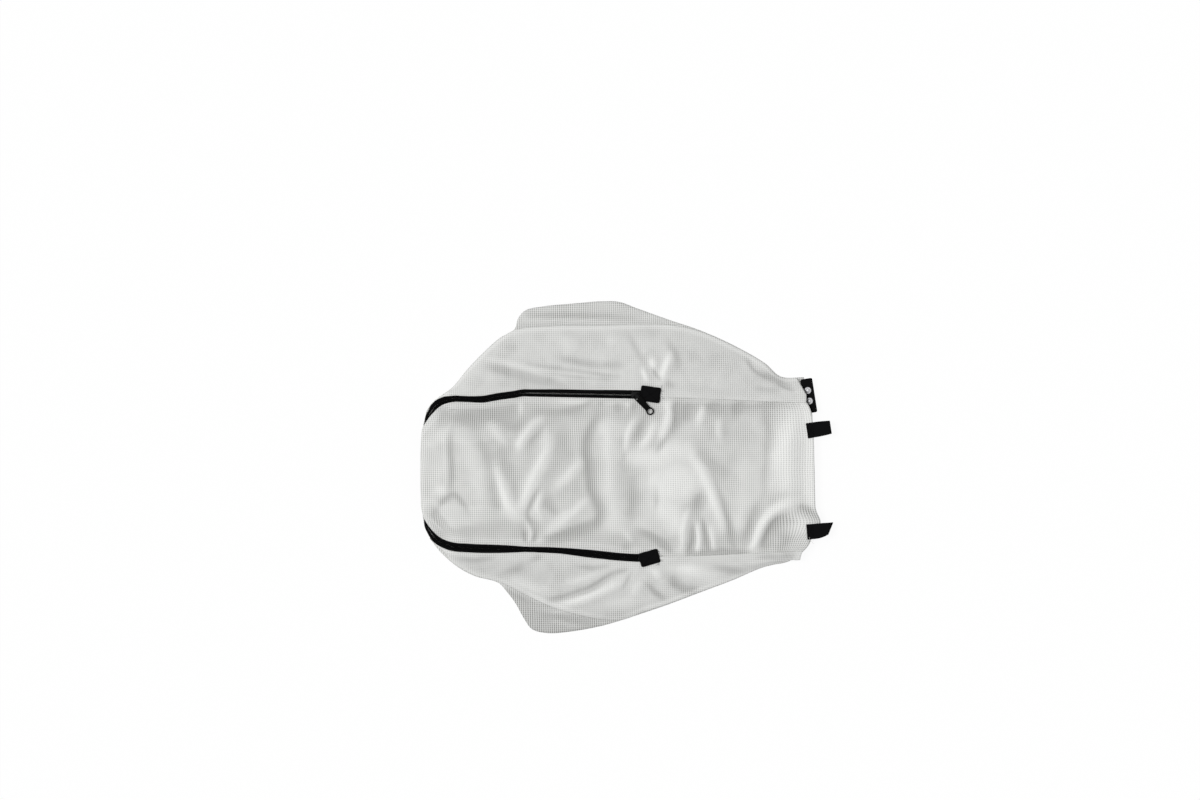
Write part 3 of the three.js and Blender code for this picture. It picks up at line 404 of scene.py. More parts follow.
class RimFrames:
    """Places along the rim line: middle, outward direction and slant of the tape."""

    def __init__(self, s):
        self.s = np.atleast_1d(np.asarray(s, float))
        plan = rim_at(self.s)
        along = rim_at(self.s + TANGENT_REACH) - rim_at(self.s - TANGENT_REACH)
        along /= np.linalg.norm(along, axis=-1, keepdims=True)
        z = (RIM_HEIGHT + (END_HEIGHT - RIM_HEIGHT) * ramp(DIP_START_X, END_X + 1, plan[:, 0])
             + (MOUTH_HEIGHT - RIM_HEIGHT) * ramp(MOUTH_DROP_X, MOUTH_UPPER[0], plan[:, 0]))
        zero = np.zeros(len(z))
        start, flat, flat_end, end = S_ROLL
        rolled = ramp(start, flat, self.s) * (1 - ramp(flat_end, end, self.s))
        self.roll = math.radians(90) * rolled
        self.middle = np.column_stack([plan, z])
        self.along = np.column_stack([along, zero])
        self.out = np.column_stack([along[:, 1], -along[:, 0], zero])

    def mixed(self, out_share, up_share):
        return self.out * out_share[:, None] + np.array([0, 0, 1]) * up_share[:, None]

    def across(self):
        return self.mixed(np.cos(self.roll), -np.sin(self.roll))

    def normal(self):
        return self.mixed(np.sin(self.roll), np.cos(self.roll))

    def beside(self, side, lift):
        """Places at a distance across the tape, outwards above 0, and at a height over it."""
        side = np.broadcast_to(np.asarray(side, float), self.roll.shape)[:, None]
        lift = np.broadcast_to(np.asarray(lift, float), self.roll.shape)[:, None]
        return self.middle + self.across() * side + self.normal() * lift


def arm_stations():
    """Stations from the rounded end's corners to the mouth, along the upper and the lower side."""
    spread = (np.arange(LONG_CELLS + 1) / LONG_CELLS) ** ARM_SPREAD
    return S_CORNER_UPPER * (1 - spread), S_CORNER_LOWER + (RIM_LENGTH - S_CORNER_LOWER) * spread


def cloth_lift(frames):
    return (TAPE + CLOTH) / 2 + GAP + ROLL_SLACK * np.sin(frames.roll)


def cloth_edge(frames, side=1):
    """Distance from the rim line to the cloth's edge, outside (1) or inside it (-1)."""
    x, upper = frames.middle[:, 0], frames.middle[:, 1] > 0
    share = ramp(TAB_UPPER[0] - 8, TAB_UPPER[0] + 12, x)
    free = np.where(upper, np.interp(x, *zip(*SHOWN_UPPER)), np.interp(x, *zip(*SHOWN_LOWER)))
    free = free + side * SHOWN_SHIFT * ramp(*SHIFT_X, x) * upper
    if side < 0:
        free = np.where(upper & (x > SLIDER_LANE_X), np.maximum(free, SLIDER_ROOM), free)
    return free + (GAP / 2 - free) * share


def rim_distance(x, y):
    """Distance from the rim line in plan."""
    best = np.full(np.shape(x), 1e9)
    for px, py in RIM[::6]:
        np.minimum(best, np.hypot(x - px, y - py), out=best)
    return best


def fold_field(x, y, folds):
    """Height and painted light and shade of all folds at the given places."""
    height = np.zeros(np.shape(x))
    total = np.zeros(np.shape(x))
    for line, rise, shading, left, right in folds:
        crest = centripetal(line, 5)
        near = np.full(np.shape(x), 1e9)
        share = np.zeros(np.shape(x))
        turn = np.zeros(np.shape(x))
        count = len(crest) - 1
        for k in range(count):
            (ax, ay), (bx, by) = crest[k], crest[k + 1]
            span = (bx - ax) ** 2 + (by - ay) ** 2
            t = np.clip(((x - ax) * (bx - ax) + (y - ay) * (by - ay)) / span, 0, 1)
            distance = np.hypot(x - ax - t * (bx - ax), y - ay - t * (by - ay))
            closer = distance < near
            near = np.where(closer, distance, near)
            share = np.where(closer, (k + t) / count, share)
            turn = np.where(closer, (bx - ax) * (y - ay) - (by - ay) * (x - ax), turn)
        spread = np.where(turn > 0, left, right)
        taper = FOLD_END_SHARE + (1 - FOLD_END_SHARE) * np.sin(np.pi * share) ** FOLD_END_POWER
        swell = taper * np.exp(-(near / spread) ** FOLD_POWER)
        height += rise * swell
        total += shading * swell
    return height, total


def slow_noise(x, y, size, seed):
    """Smooth unevenness of the cloth, about -1 to 1."""
    values = [noise.noise((a / size, b / size, seed)) for a, b in zip(np.ravel(x), np.ravel(y))]
    return np.array(values).reshape(np.shape(x))


def refine_rows(grid, factor):
    """The same surface with more rows, smooth through the given ones."""
    n = grid.shape[0]
    padded = np.concatenate([2 * grid[:1] - grid[1:2], grid, 2 * grid[-1:] - grid[-2:-1]])
    at = np.linspace(0, n - 1, (n - 1) * factor + 1)
    k = np.minimum(at.astype(int), n - 2)
    t = (at - k).reshape(-1, *([1] * (grid.ndim - 1)))
    p0, p1, p2, p3 = (padded[k + i] for i in range(4))
    return 0.5 * (2 * p1 + (p2 - p0) * t + (2 * p0 - 5 * p1 + 4 * p2 - p3) * t ** 2
                  + (3 * p1 - p0 - 3 * p2 + p3) * t ** 3)


def refine(grid, along, across):
    return refine_rows(refine_rows(grid, along).swapaxes(0, 1), across).swapaxes(0, 1)


def coons(left, right, low, high):
    """Surface inside four edge rows: left and right run across, low and high run along."""
    u = np.linspace(0, 1, len(low))[:, None, None]
    v = np.linspace(0, 1, len(left))[None, :, None]
    ruled = (1 - u) * left[None] + u * right[None] + (1 - v) * low[:, None] + v * high[:, None]
    corners = ((1 - u) * (1 - v) * left[0] + u * (1 - v) * right[0]
               + (1 - u) * v * left[-1] + u * v * right[-1])
    return ruled - corners


# Meshes from grids.
def grid_normals(grid):
    normal = np.cross(np.gradient(grid, axis=0), np.gradient(grid, axis=1))
    normal /= np.maximum(np.linalg.norm(normal, axis=-1, keepdims=True), 1e-9)
    return normal if normal[grid.shape[0] // 2, grid.shape[1] // 2, 2] >= 0 else -normal


def crest_shading(grid):
    """Painted light on crests, where the cloth stands up (above 0), painted shade in valleys
    (slightly below 0).
    """
    z = grid[..., 2]
    smooth = z.copy()
    for _ in range(CREST_PASSES):
        p = np.pad(smooth, 1, mode="edge")
        smooth = (p[:-2, 1:-1] + p[2:, 1:-1] + p[1:-1, :-2] + p[1:-1, 2:] + 2 * smooth) / 6
    return np.clip((z - smooth) / CREST_HEIGHT, *CREST_RANGE)


def mesh_object(name, points, edges, faces):
    """A new smooth object in the scene, from places in millimetres."""
    mesh = bpy.data.meshes.new(name)
    mesh.from_pydata((np.asarray(points, float) * MM).tolist(), edges, faces)
    mesh.polygons.foreach_set("use_smooth", [True] * len(mesh.polygons))
    piece = bpy.data.objects.new(name, mesh)
    bpy.context.collection.objects.link(piece)
    return piece


def shell(name, grid, thickness, uv, shading=None):
    """A closed sheet round a grid of nodes, with its own UV map and an attribute of painted light
    and shade.
    """
    nu, nv = grid.shape[:2]
    thickness = np.broadcast_to(np.asarray(thickness, float), (nu, nv))[..., None]
    half = grid_normals(grid) * thickness / 2
    points = np.concatenate([(grid + half).reshape(-1, 3), (grid - half).reshape(-1, 3)])
    index = np.arange(nu * nv).reshape(nu, nv)
    top = np.stack([index[:-1, :-1], index[1:, :-1], index[1:, 1:], index[:-1, 1:]], axis=-1)
    top = top.reshape(-1, 4)
    rim = np.concatenate([index[:-1, 0], index[-1, :-1], index[:0:-1, -1], index[0, :0:-1]])
    following = np.roll(rim, -1)
    under = nu * nv
    walls = np.stack([rim, rim + under, following + under, following], axis=-1)
    faces = np.concatenate([top, top[:, ::-1] + under, walls])
    a, b, c = points[top[:, 0]], points[top[:, 1]], points[top[:, 2]]
    if np.einsum("ij,ij->", np.cross(b - a, c - a), half.reshape(-1, 3)[top[:, 0]]) < 0:
        faces = faces[:, ::-1]
    piece = mesh_object(name, points, [], faces.tolist())
    mesh = piece.data
    corners = np.empty(len(mesh.loops), dtype=np.int32)
    mesh.loops.foreach_get("vertex_index", corners)
    flat = np.concatenate([uv.reshape(-1, 2)] * 2) * MM + 0.5
    mesh.uv_layers.new(name="cloth").data.foreach_set("uv", flat[corners].ravel())
    values = np.zeros(nu * nv) if shading is None else shading.reshape(-1)
    # The painted light and shade of the folds, one value for each node.
    fold_shading = mesh.attributes.new("fold_shading", "FLOAT", "POINT")
    fold_shading.data.foreach_set("value", np.tile(values, 2))
    mesh.update()
    return piece


def tube(path, radius, sides=5):
    """Points and faces of a thin closed tube along a path."""
    along = np.gradient(path, axis=0)
    along /= np.linalg.norm(along, axis=1, keepdims=True)
    first = np.cross(along, [0.13, 0.21, 1.0])
    first /= np.linalg.norm(first, axis=1, keepdims=True)
    second = np.cross(along, first)
    angle = np.linspace(0, 2 * math.pi, sides, endpoint=False)[None, :, None]
    spokes = first[:, None] * np.cos(angle) + second[:, None] * np.sin(angle)
    rings = path[:, None] + radius * spokes
    faces = []
    for start in range(0, (len(path) - 1) * sides, sides):
        for m in range(sides):
            n = (m + 1) % sides
            faces.append((start + m, start + sides + m, start + sides + n, start + n))
    faces.append(tuple(range(sides)))
    faces.append(tuple(reversed(range((len(path) - 1) * sides, len(path) * sides))))
    return rings.reshape(-1, 3), faces


def from_parts(name, parts):
    """One object from several lists of points and faces."""
    points, faces, start = [], [], 0
    for part_points, part_faces in parts:
        points.append(part_points)
        faces.extend(tuple(i + start for i in face) for face in part_faces)
        start += len(part_points)
    return mesh_object(name, np.vstack(points), [], faces)


def only(piece):
    """Selects one piece alone, in object mode."""
    if bpy.context.object and bpy.context.object.mode != "OBJECT":
        bpy.ops.object.mode_set(mode="OBJECT")
    bpy.ops.object.select_all(action="DESELECT")
    piece.select_set(True)
    bpy.context.view_layer.objects.active = piece


def apply_modifier(piece, kind, **values):
    only(piece)
    modifier = piece.modifiers.new(kind.lower(), kind)
    for key, value in values.items():
        setattr(modifier, key, value)
    bpy.ops.object.modifier_apply(modifier=modifier.name)


FACE_OUTWARD = (bpy.ops.mesh.normals_make_consistent, {"inside": False})


def edit(piece, *steps):
    """Runs mesh operators with their values on the whole piece."""
    only(piece)
    bpy.ops.object.mode_set(mode="EDIT")
    for operator, values in steps:
        bpy.ops.mesh.select_all(action="SELECT")
        operator(**values)
    bpy.ops.object.mode_set(mode="OBJECT")


def smooth_by_angle(piece, degrees):
    only(piece)
    bpy.ops.object.shade_smooth_by_angle(angle=math.radians(degrees))


def ease_edges(piece, width, degrees, segments=2, **values):
    apply_modifier(piece, "BEVEL", width=width * MM, segments=segments, limit_method="ANGLE",
                   angle_limit=math.radians(degrees), **values)


def rounded_copy(node, name, bevel, segments=2):
    """A copy of a CAD node with its loose triangles merged and its edges rounded."""
    piece = bpy.data.objects.new(name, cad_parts[node].data.copy())
    bpy.context.collection.objects.link(piece)
    edit(piece, (bpy.ops.mesh.remove_doubles, {"threshold": 0.02 * MM}),
         (bpy.ops.mesh.dissolve_limited, {"angle_limit": math.radians(3)}), FACE_OUTWARD)
    ease_edges(piece, bevel, 32, segments, harden_normals=False)
    smooth_by_angle(piece, 40)
    return piece


def finish_piece(piece, look, slot, *nodes, body=BODY):
    """Gives a piece its material and its body, and hides the CAD nodes that it stands for."""
    piece.data.materials.clear()
    piece.data.materials.append(material_for(look))
    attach(piece, body)
    if nodes:
        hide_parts(*nodes)


# Shader graphs.
FLOAT, COLOR, VECTOR = "NodeSocketFloat", "NodeSocketColor", "NodeSocketVector"
WHITE = (1, 1, 1, 1)


class Graph:
    """Short ways to add and join the nodes of one tree."""

    def __init__(self, tree):
        self.tree = tree

    def add(self, kind, **values):
        node = self.tree.nodes.new(kind)
        for key, value in values.items():
            setattr(node, key, value)
        return node

    def put(self, socket, value):
        if isinstance(value, bpy.types.NodeSocket):
            self.tree.links.new(value, socket)
        else:
            socket.default_value = value

    def math(self, operation, *inputs, clamp=False):
        node = self.add("ShaderNodeMath", operation=operation, use_clamp=clamp)
        for socket, value in zip(node.inputs, inputs):
            self.put(socket, value)
        return node.outputs[0]

    def times(self, *inputs):
        return self.math("MULTIPLY", *inputs)

    def plus(self, *inputs):
        return self.math("ADD", *inputs)

    def scaled(self, value, factor, offset):
        return self.math("MULTIPLY_ADD", value, factor, offset)

    def wave(self, operation, value, turn):
        return self.math(operation, self.times(value, turn))

    def step(self, value, low, high, start=0.0, end=1.0):
        node = self.add("ShaderNodeMapRange", interpolation_type="SMOOTHSTEP")
        names = ("Value", "From Min", "From Max", "To Min", "To Max")
        for name, given in zip(names, (value, low, high, start, end)):
            self.put(node.inputs[name], given)
        return node.outputs["Result"]

    def mix(self, factor, first, second, blend="MIX"):
        node = self.add("ShaderNodeMix", data_type="RGBA", blend_type=blend)
        for place, value in ((0, factor), (6, first), (7, second)):
            self.put(node.inputs[place], value)
        return node.outputs[2]

    def cloud(self, vector, scale, detail=2.0):
        node = self.add("ShaderNodeTexNoise")
        self.put(node.inputs["Vector"], vector)
        node.inputs["Scale"].default_value = scale
        node.inputs["Detail"].default_value = detail
        return node.outputs["Fac"]

    def split(self, vector):
        node = self.add("ShaderNodeSeparateXYZ")
        self.put(node.inputs[0], vector)
        return node.outputs

    def find(self, kind):
        return next(node for node in self.tree.nodes if node.type == kind)

    def seen_directly(self):
        """1 where the camera or a mirror image of it looks, 0 for light that is scattered."""
        path = self.add("ShaderNodeLightPath").outputs
        seen = self.math("MAXIMUM", path["Is Camera Ray"], path["Is Glossy Ray"])
        return self.math("MAXIMUM", seen, path["Is Transmission Ray"])


def new_group(name, inputs):
    """An empty node group with named sockets: its inner graph, its inputs and its outputs."""
    tree = bpy.data.node_groups.new(name, "ShaderNodeTree")
    for label, kind, value in inputs:
        socket = tree.interface.new_socket(label, in_out="INPUT", socket_type=kind)
        if value is not None:
            socket.default_value = value
    for label, kind in (("Color", COLOR), ("Height", FLOAT), ("Roughness", FLOAT)):
        tree.interface.new_socket(label, in_out="OUTPUT", socket_type=kind)
    graph = Graph(tree)
    return graph, graph.add("NodeGroupInput").outputs, graph.add("NodeGroupOutput").inputs


def open_weave_group():
    """White threads crossing round small openings, with painted light and shade from the Fold
    input: crests close up and get painted light, valleys show dark lines and painted shade.
    """
    g, given, out = new_group("Open weave", [
        ("Vector", VECTOR, None), ("Fold", FLOAT, 0.0),
        ("Pitch along", FLOAT, 0.0035), ("Pitch across", FLOAT, 0.0033), ("Openness", FLOAT, 1.0),
        # The Opening colour is painted shade: the shadowed layer below, seen through the openings.
        ("Thread", COLOR, (0.75, 0.75, 0.74, 1)), ("Opening", COLOR, (0.2, 0.2, 0.19, 1)),
    ])
    wander = g.cloud(given["Vector"], 14, 1)
    x, y, _ = g.split(given["Vector"])
    u = g.math("DIVIDE", g.scaled(wander, 0.006, x), given["Pitch along"])
    v = g.math("DIVIDE", g.scaled(wander, -0.005, y), given["Pitch across"])
    warp = g.step(g.wave("COSINE", u, 2 * math.pi), -0.65, 0.1)
    weft = g.step(g.wave("COSINE", v, 2 * math.pi), -0.65, 0.1)
    parity = g.times(g.wave("COSINE", u, math.pi), g.wave("COSINE", v, math.pi))
    height = g.math("MAXIMUM", g.times(warp, g.scaled(parity, 0.4, 0.6)),
                    g.times(weft, g.scaled(parity, -0.4, 0.6)))
    patch = g.scaled(g.cloud(given["Vector"], 24, 1), 2.4, -1.2)
    fold_shading = g.scaled(patch, 0.5, given["Fold"])
    between_warp = g.math("SUBTRACT", 1.0, warp)
    opening = g.times(between_warp, g.math("SUBTRACT", 1.0, weft))
    line = g.times(between_warp, weft)
    # Painted shade: openings and the lines between threads take the Opening colour fully in valleys
    # and hardly on crests.
    shade = g.plus(g.times(opening, g.step(fold_shading, -1.0, 1.0, 1.0, 0.25)),
                   g.times(line, g.step(fold_shading, -1.1, 0.6, 0.5, 0.04)))
    closed = g.step(g.plus(patch, given["Openness"]), 0.1, 0.65)
    shade = g.times(shade, g.mix(given["Openness"], closed, WHITE))
    fibre = g.cloud(given["Vector"], 2600, 2)
    # Painted light and shade: the thread colour is brightened on crests and darkened in valleys.
    lit = g.mix(1.0, given["Thread"], g.step(given["Fold"], -1.4, 1.4, 0.76, 1.2), "MULTIPLY")
    worn_and_lit = g.mix(g.times(fibre, 0.16), lit, (0.5, 0.5, 0.48, 1))
    # Painted shade where the threads dip low under each other at the crossings.
    shaded_crossings = g.mix(g.step(height, 0.2, 1.0, 0.22, 0.0), worn_and_lit, given["Opening"])
    g.put(out["Color"], g.mix(shade, shaded_crossings, given["Opening"]))
    g.put(out["Height"], g.scaled(fibre, 0.08, height))
    g.put(out["Roughness"], g.step(g.plus(height, fibre), 0.4, 1.6, 0.75, 0.5))


def rib_weave_group():
    """Tightly woven band: short yarn floats side by side, each row set off by half a yarn."""
    g, given, out = new_group("Rib weave", [
        ("Vector", VECTOR, None), ("Rib pitch", FLOAT, 0.0012), ("Yarn pitch", FLOAT, 0.0016),
        ("Yarn", COLOR, (0.006, 0.006, 0.0062, 1)), ("Lint", COLOR, (0.018, 0.018, 0.018, 1)),
    ])
    x, y, _ = g.split(given["Vector"])
    row = g.math("DIVIDE", y, given["Rib pitch"])
    shifted = g.scaled(g.math("FLOOR", row), 0.5, g.math("DIVIDE", x, given["Yarn pitch"]))
    across = g.math("ABSOLUTE", g.wave("SINE", row, math.pi))
    along = g.math("ABSOLUTE", g.wave("SINE", shifted, math.pi))
    height = g.math("POWER", g.times(across, along), 0.5)
    fibre = g.cloud(given["Vector"], 1500, 3)
    lint = g.step(g.cloud(given["Vector"], 420, 3), 0.6, 0.75, 0.0, 0.5)
    # Painted shade in the grooves between the yarns.
    shaded = g.mix(g.step(height, 0.1, 0.9, 0.7, 0.0), given["Yarn"], (0.0008, 0.0008, 0.0009, 1))
    g.put(out["Color"], g.mix(g.times(lint, fibre), shaded, given["Lint"]))
    g.put(out["Height"], g.scaled(fibre, 0.15, height))
    g.put(out["Roughness"], g.step(fibre, 0.3, 0.7, 0.7, 0.95))


def handled_surface_group():
    """Small scratches and handling marks for painted and plated metal."""
    g, given, out = new_group("Handled surface", [
        ("Vector", VECTOR, None), ("Finish", COLOR, (0.01, 0.01, 0.01, 1)),
        ("Under", COLOR, (0.25, 0.25, 0.26, 1)), ("Edge", FLOAT, 0.5), ("Roughness", FLOAT, 0.3),
    ])
    grain = g.cloud(given["Vector"], 900, 3)
    marks = g.step(g.cloud(given["Vector"], 260, 4), 0.56, 0.7)
    rubbed = g.times(g.step(g.plus(given["Edge"], g.times(grain, 0.12)), 0.6, 0.72), 0.6)
    g.put(out["Color"], g.mix(rubbed, given["Finish"], given["Under"]))
    g.put(out["Height"], g.scaled(marks, 0.4, grain))
    g.put(out["Roughness"], g.scaled(marks, 0.16, given["Roughness"]))


def new_material(name):
    """A new material, its graph and the inputs of its surface shader."""
    material = bpy.data.materials.new(name)
    material.use_nodes = True
    graph = Graph(material.node_tree)
    return material, graph, graph.find("BSDF_PRINCIPLED").inputs


def use_group(graph, name, **values):
    node = graph.add("ShaderNodeGroup", node_tree=bpy.data.node_groups[name])
    for key, value in values.items():
        graph.put(node.inputs[key.replace("_", " ")], value)
    return node.outputs


def dress(graph, surface, look, level, distance, strength):
    """Joins colour, roughness and height to the surface, with its specular level and bump."""
    graph.put(surface["Base Color"], look["Color"])
    graph.put(surface["Roughness"], look["Roughness"])
    surface["Specular IOR Level"].default_value = level
    bump = graph.add("ShaderNodeBump")
    bump.inputs["Strength"].default_value = strength
    bump.inputs["Distance"].default_value = distance
    graph.put(bump.inputs["Height"], look["Height"])
    graph.put(surface["Normal"], bump.outputs["Normal"])


def cloth_vector(graph):
    return graph.add("ShaderNodeUVMap", uv_map="cloth").outputs["UV"]


def object_vector(graph):
    return graph.add("ShaderNodeTexCoord").outputs["Object"]


def mesh_cloth_material(name, openness):
    settings = bpy.context.scene.bag_cloth
    material, graph, surface = new_material(name)
    # This attribute carries the painted light and shade of the folds into the weave.
    fold_shading = graph.add("ShaderNodeAttribute", attribute_name="fold_shading").outputs["Fac"]
    look = use_group(
        graph, "Open weave", Vector=cloth_vector(graph), Fold=fold_shading, Openness=openness,
        Pitch_along=settings.pitch_along, Pitch_across=settings.pitch_across,
        Thread=(*settings.thread_colour, 1), Opening=(*settings.opening_shade, 1))
    dress(graph, surface, look, 0.35, 0.0007, 0.55)
    return material


def band_material(name, rib, yarn, source):
    material, graph, surface = new_material(name)
    look = use_group(graph, "Rib weave", Vector=source(graph), Rib_pitch=rib * MM,
                     Yarn_pitch=yarn * MM, Yarn=(*bpy.context.scene.bag_webbing.band_colour, 1))
    dress(graph, surface, look, 0.0, 0.0004, 0.7)
    return material


def metal_material(name, finish, under, roughness, metallic, level):
    """Painted or plated metal and hard nylon, a little rubbed at the edges."""
    material, graph, surface = new_material(name)
    edge = graph.add("ShaderNodeNewGeometry").outputs["Pointiness"]
    look = use_group(graph, "Handled surface", Vector=object_vector(graph), Edge=edge,
                     Finish=(*finish, 1), Under=(*under, 1), Roughness=roughness)
    surface["Metallic"].default_value = metallic
    dress(graph, surface, look, level, 0.00008, 0.25)
    return material


def thread_material(name, colour, level):
    """Twisted sewing thread."""
    material, graph, surface = new_material(name)
    place = object_vector(graph)
    x, y, z = graph.split(place)
    twist = graph.wave("SINE", graph.plus(graph.plus(x, y), z), 2 * math.pi / 0.0007)
    lint = graph.cloud(place, 1800, 2)
    # Painted shade in the grooves of the twist, with random darker lint.
    shade = graph.math("MULTIPLY_ADD", twist, 0.12, graph.times(lint, 0.3), clamp=True)
    dark = tuple(c * 0.6 for c in colour)
    dress(graph, surface, {
        "Color": graph.mix(shade, (*colour, 1), (*dark, 1)),
        "Roughness": graph.step(lint, 0.3, 0.7, 0.6, 0.85),
        "Height": twist,
    }, level, 0.0001, 0.4)
    return material


MATERIALS = {
    "open_mesh_cloth": (mesh_cloth_material, 1.0),
    "side_mesh_cloth": (mesh_cloth_material, 0.25),
    "woven_webbing": (band_material, 1.5, 2.4, cloth_vector),
    "woven_strip": (band_material, 1.5, 2.4, object_vector),
    "woven_zip_tape": (band_material, 0.9, 1.3, cloth_vector),
    "dark_nylon": (metal_material, (0.0025, 0.0025, 0.003), (0.006,) * 3, 0.5, 0.0, 0.02),
    "dark_enamel": (metal_material, (0.0025,) * 3, (0.02, 0.02, 0.021), 0.4, 0.0, 0.03),
    "bright_plating": (metal_material, (0.36, 0.36, 0.37), (0.2, 0.2, 0.19), 0.5, 1.0, 0.5),
    "white_thread": (thread_material, (0.74, 0.74, 0.72), 0.3),
    "black_thread": (thread_material, (0.006,) * 3, 0.0),
}


def material_for(name):
    """The material of that name, made on first use."""
    maker, *given = MATERIALS[name]
    return bpy.data.materials.get(name) or maker(name, *given)


# Settings that a user would change.
def length_setting(name, about, value, low, high):
    return FloatProperty(name=name, description=about, default=value, min=low, max=high,
                         unit="LENGTH")


def level_setting(name, about, value, high):
    return FloatProperty(name=name, description=about, default=value, min=0, max=high)


def colour_setting(name, about, value):
    return FloatVectorProperty(name=name, description=about, default=value, min=0, max=1,
                               subtype="COLOR")


class BagClothSettings(bpy.types.PropertyGroup):
    """Mesh cloth of the panels"""

    pitch_along: length_setting("Pitch along", "Thread distance along it", 0.0035, 0.001, 0.01)
    pitch_across: length_setting("Pitch across", "Thread distance across it", 0.0034, 0.001, 0.01)
    fold_strength: level_setting("Fold strength", "How strongly the folds stand up", 1.0, 1.5)
    thread_colour: colour_setting("Thread", "Colour of the cloth's threads", (0.76, 0.765, 0.75))
    # The opening colour is painted shade: the shadowed layer below, seen through the openings.
    opening_shade: colour_setting("Opening", "Colour in the small openings", (0.2, 0.2, 0.19))


class BagZipSettings(bpy.types.PropertyGroup):
    """Zip chain and its stitching"""

    tooth_pitch: length_setting("Tooth pitch", "Distance between teeth", 0.0029, 0.002, 0.008)
    stitch_pitch: length_setting("Stitch pitch", "Distance between stitches", 0.0032, 0.002, 0.008)


class BagWebbingSettings(bpy.types.PropertyGroup):
    """Black tapes, tabs and loops"""

    band_colour: colour_setting("Band", "Colour of tapes, tabs and loops", (0.0085, 0.0085, 0.009))
    loop_steps: IntProperty(
        name="Loop steps", description="Steps along each loop", default=60, min=20, max=120)


class BagStageSettings(bpy.types.PropertyGroup):
    """Camera, lamps and floor"""

    camera_height: length_setting("Camera height", "Camera over the floor", 5.5, 2, 12)
    frame_width: length_setting("Frame width", "Width of floor in the picture", 1.98, 0.8, 4)
    world_level: level_setting("Sky level", "Even light from all sides", 0.5, 2)
    key_level: level_setting("Lamp level", "Strength of the soft main lamp", 1.78, 10)


# The panels. Their operators leave the places of the seams here for the stitching.
stitch_rows = {}


def edge_height(points, x):
    curve = centripetal(points, 20)
    return np.interp(x, curve[:, 0], curve[:, 1])


def between(first, second, share):
    return first + (second - first) * share


def surface_line(grid, column, thickness):
    """Places on the upper surface along one line of nodes."""
    return grid[:, column] + grid_normals(grid)[:, column] * thickness / 2


def shape_mouth(grid):
    """Lets the mouth flare beside the lower loop and cuts its lower corner off at a slant."""
    x, y = grid[..., 0], grid[..., 1]
    flare = 8.5 * np.exp(-((y + 74) / 15) ** 2)
    cut = 5.6 * ramp(-92, -105, y) + 9 * ramp(-104, -139, y)
    grid[..., 0] += (flare - cut) * ramp(262, 312, x)


def bottom_grid():
    """Nodes of the bottom panel and their painted light and shade: raised and folded where it
    shows.
    """
    cells_along, cells_across = BOTTOM_CELLS
    low = even_spaced(centripetal(BOTTOM_LOWER, 20), cells_along + 1)
    high = even_spaced(centripetal(BOTTOM_UPPER, 20), cells_along + 1)
    right = even_spaced(centripetal(BOTTOM_MOUTH[::-1], 20), cells_across + 1)
    left = even_spaced(np.array([low[0], high[0]]), cells_across + 1)
    plan = coons(left, right, low, high)
    x, y = plan[..., 0], plan[..., 1]
    outside = np.where(y > 0, y - edge_height(SIDE_UPPER_EDGE, x),
                       edge_height(SIDE_LOWER_EDGE, x) - y)
    shown = ramp(3, 12, outside) * ramp(-300, -250, x) * (1 - ramp(60, 120, x))
    rise, shading = fold_field(x, y, UNDER_FOLDS)
    lift = (rise + 0.9) * shown
    lift += 0.5 * (slow_noise(x, y, 22, 3.1) + 0.6) * shown
    grid = np.dstack([x, y, BOTTOM_CLOTH / 2 + np.maximum(lift, 0)])
    # Painted shade over the part that shows, much darker on the lower side.
    return grid, shading - 0.7 * shown * (y < 0) - 0.08 * shown


class BAG_OT_bottom_panel(bpy.types.Operator):
    """Makes the bottom panel, whose outer parts show beyond the upper layer"""

    bl_idname = "bag.bottom_panel"
    bl_label = "Bottom panel"

    def execute(self, context):
        grid, shading = bottom_grid()
        shape_mouth(grid)
        piece = shell("bottom_cloth", grid, BOTTOM_CLOTH, grid[..., :2], shading + crest_shading(grid))
        finish_piece(piece, "open_mesh_cloth", "mesh_cloth", "bottom_panel")
        return {"FINISHED"}


def side_grid(edge, stations, mouth_cut):
    """Nodes of a side panel from the rim to its own edge, and their share of the way out."""
    frames = RimFrames(stations)
    x = frames.middle[:, 0]
    wall = ramp(*WALL_X, x)
    lift = cloth_lift(frames)
    lap = ramp(TAB_UPPER[0] + 4, TAB_UPPER[0] + 16, x)
    reach = between(cloth_edge(frames), WALL_SIDE - WALL_SLANT, wall) - SEAM_LAP * lap
    inner = frames.beside(reach, lift + (0.15 + (CLOTH + ROLLED_SEAM) / 2) * lap)
    second = frames.beside(between(RING[0], WALL_SIDE, wall), between(lift, -WALL_DROP, wall))
    outer_x = x - mouth_cut * ramp(250, MOUTH_UPPER[0], x)
    foot = second + frames.out * WALL_SLANT
    outer = np.column_stack([outer_x, edge_height(edge, outer_x), 0 * x])
    outer = between(outer, foot, wall[:, None])
    outer[:, 2] = between(EDGE_Z, EDGE_Z - CLOTH / 2, wall)
    rows = [inner, second]
    for t in np.arange(1, SIDE_CELLS + 1) / SIDE_CELLS:
        row = second + (outer - second) * t
        sag = max(math.cos(t * math.pi / 2), 0) ** 1.2
        row[:, 2] = outer[:, 2] + (second[:, 2] - outer[:, 2]) * sag
        rows.append(row)
    grid = refine(np.stack(rows, axis=1), *SIDE_FINER)
    share = np.clip((np.arange(grid.shape[1]) / SIDE_FINER[1] - 1) / SIDE_CELLS, 0, 1)[None, :]
    return grid, np.broadcast_to(share, grid.shape[:2])


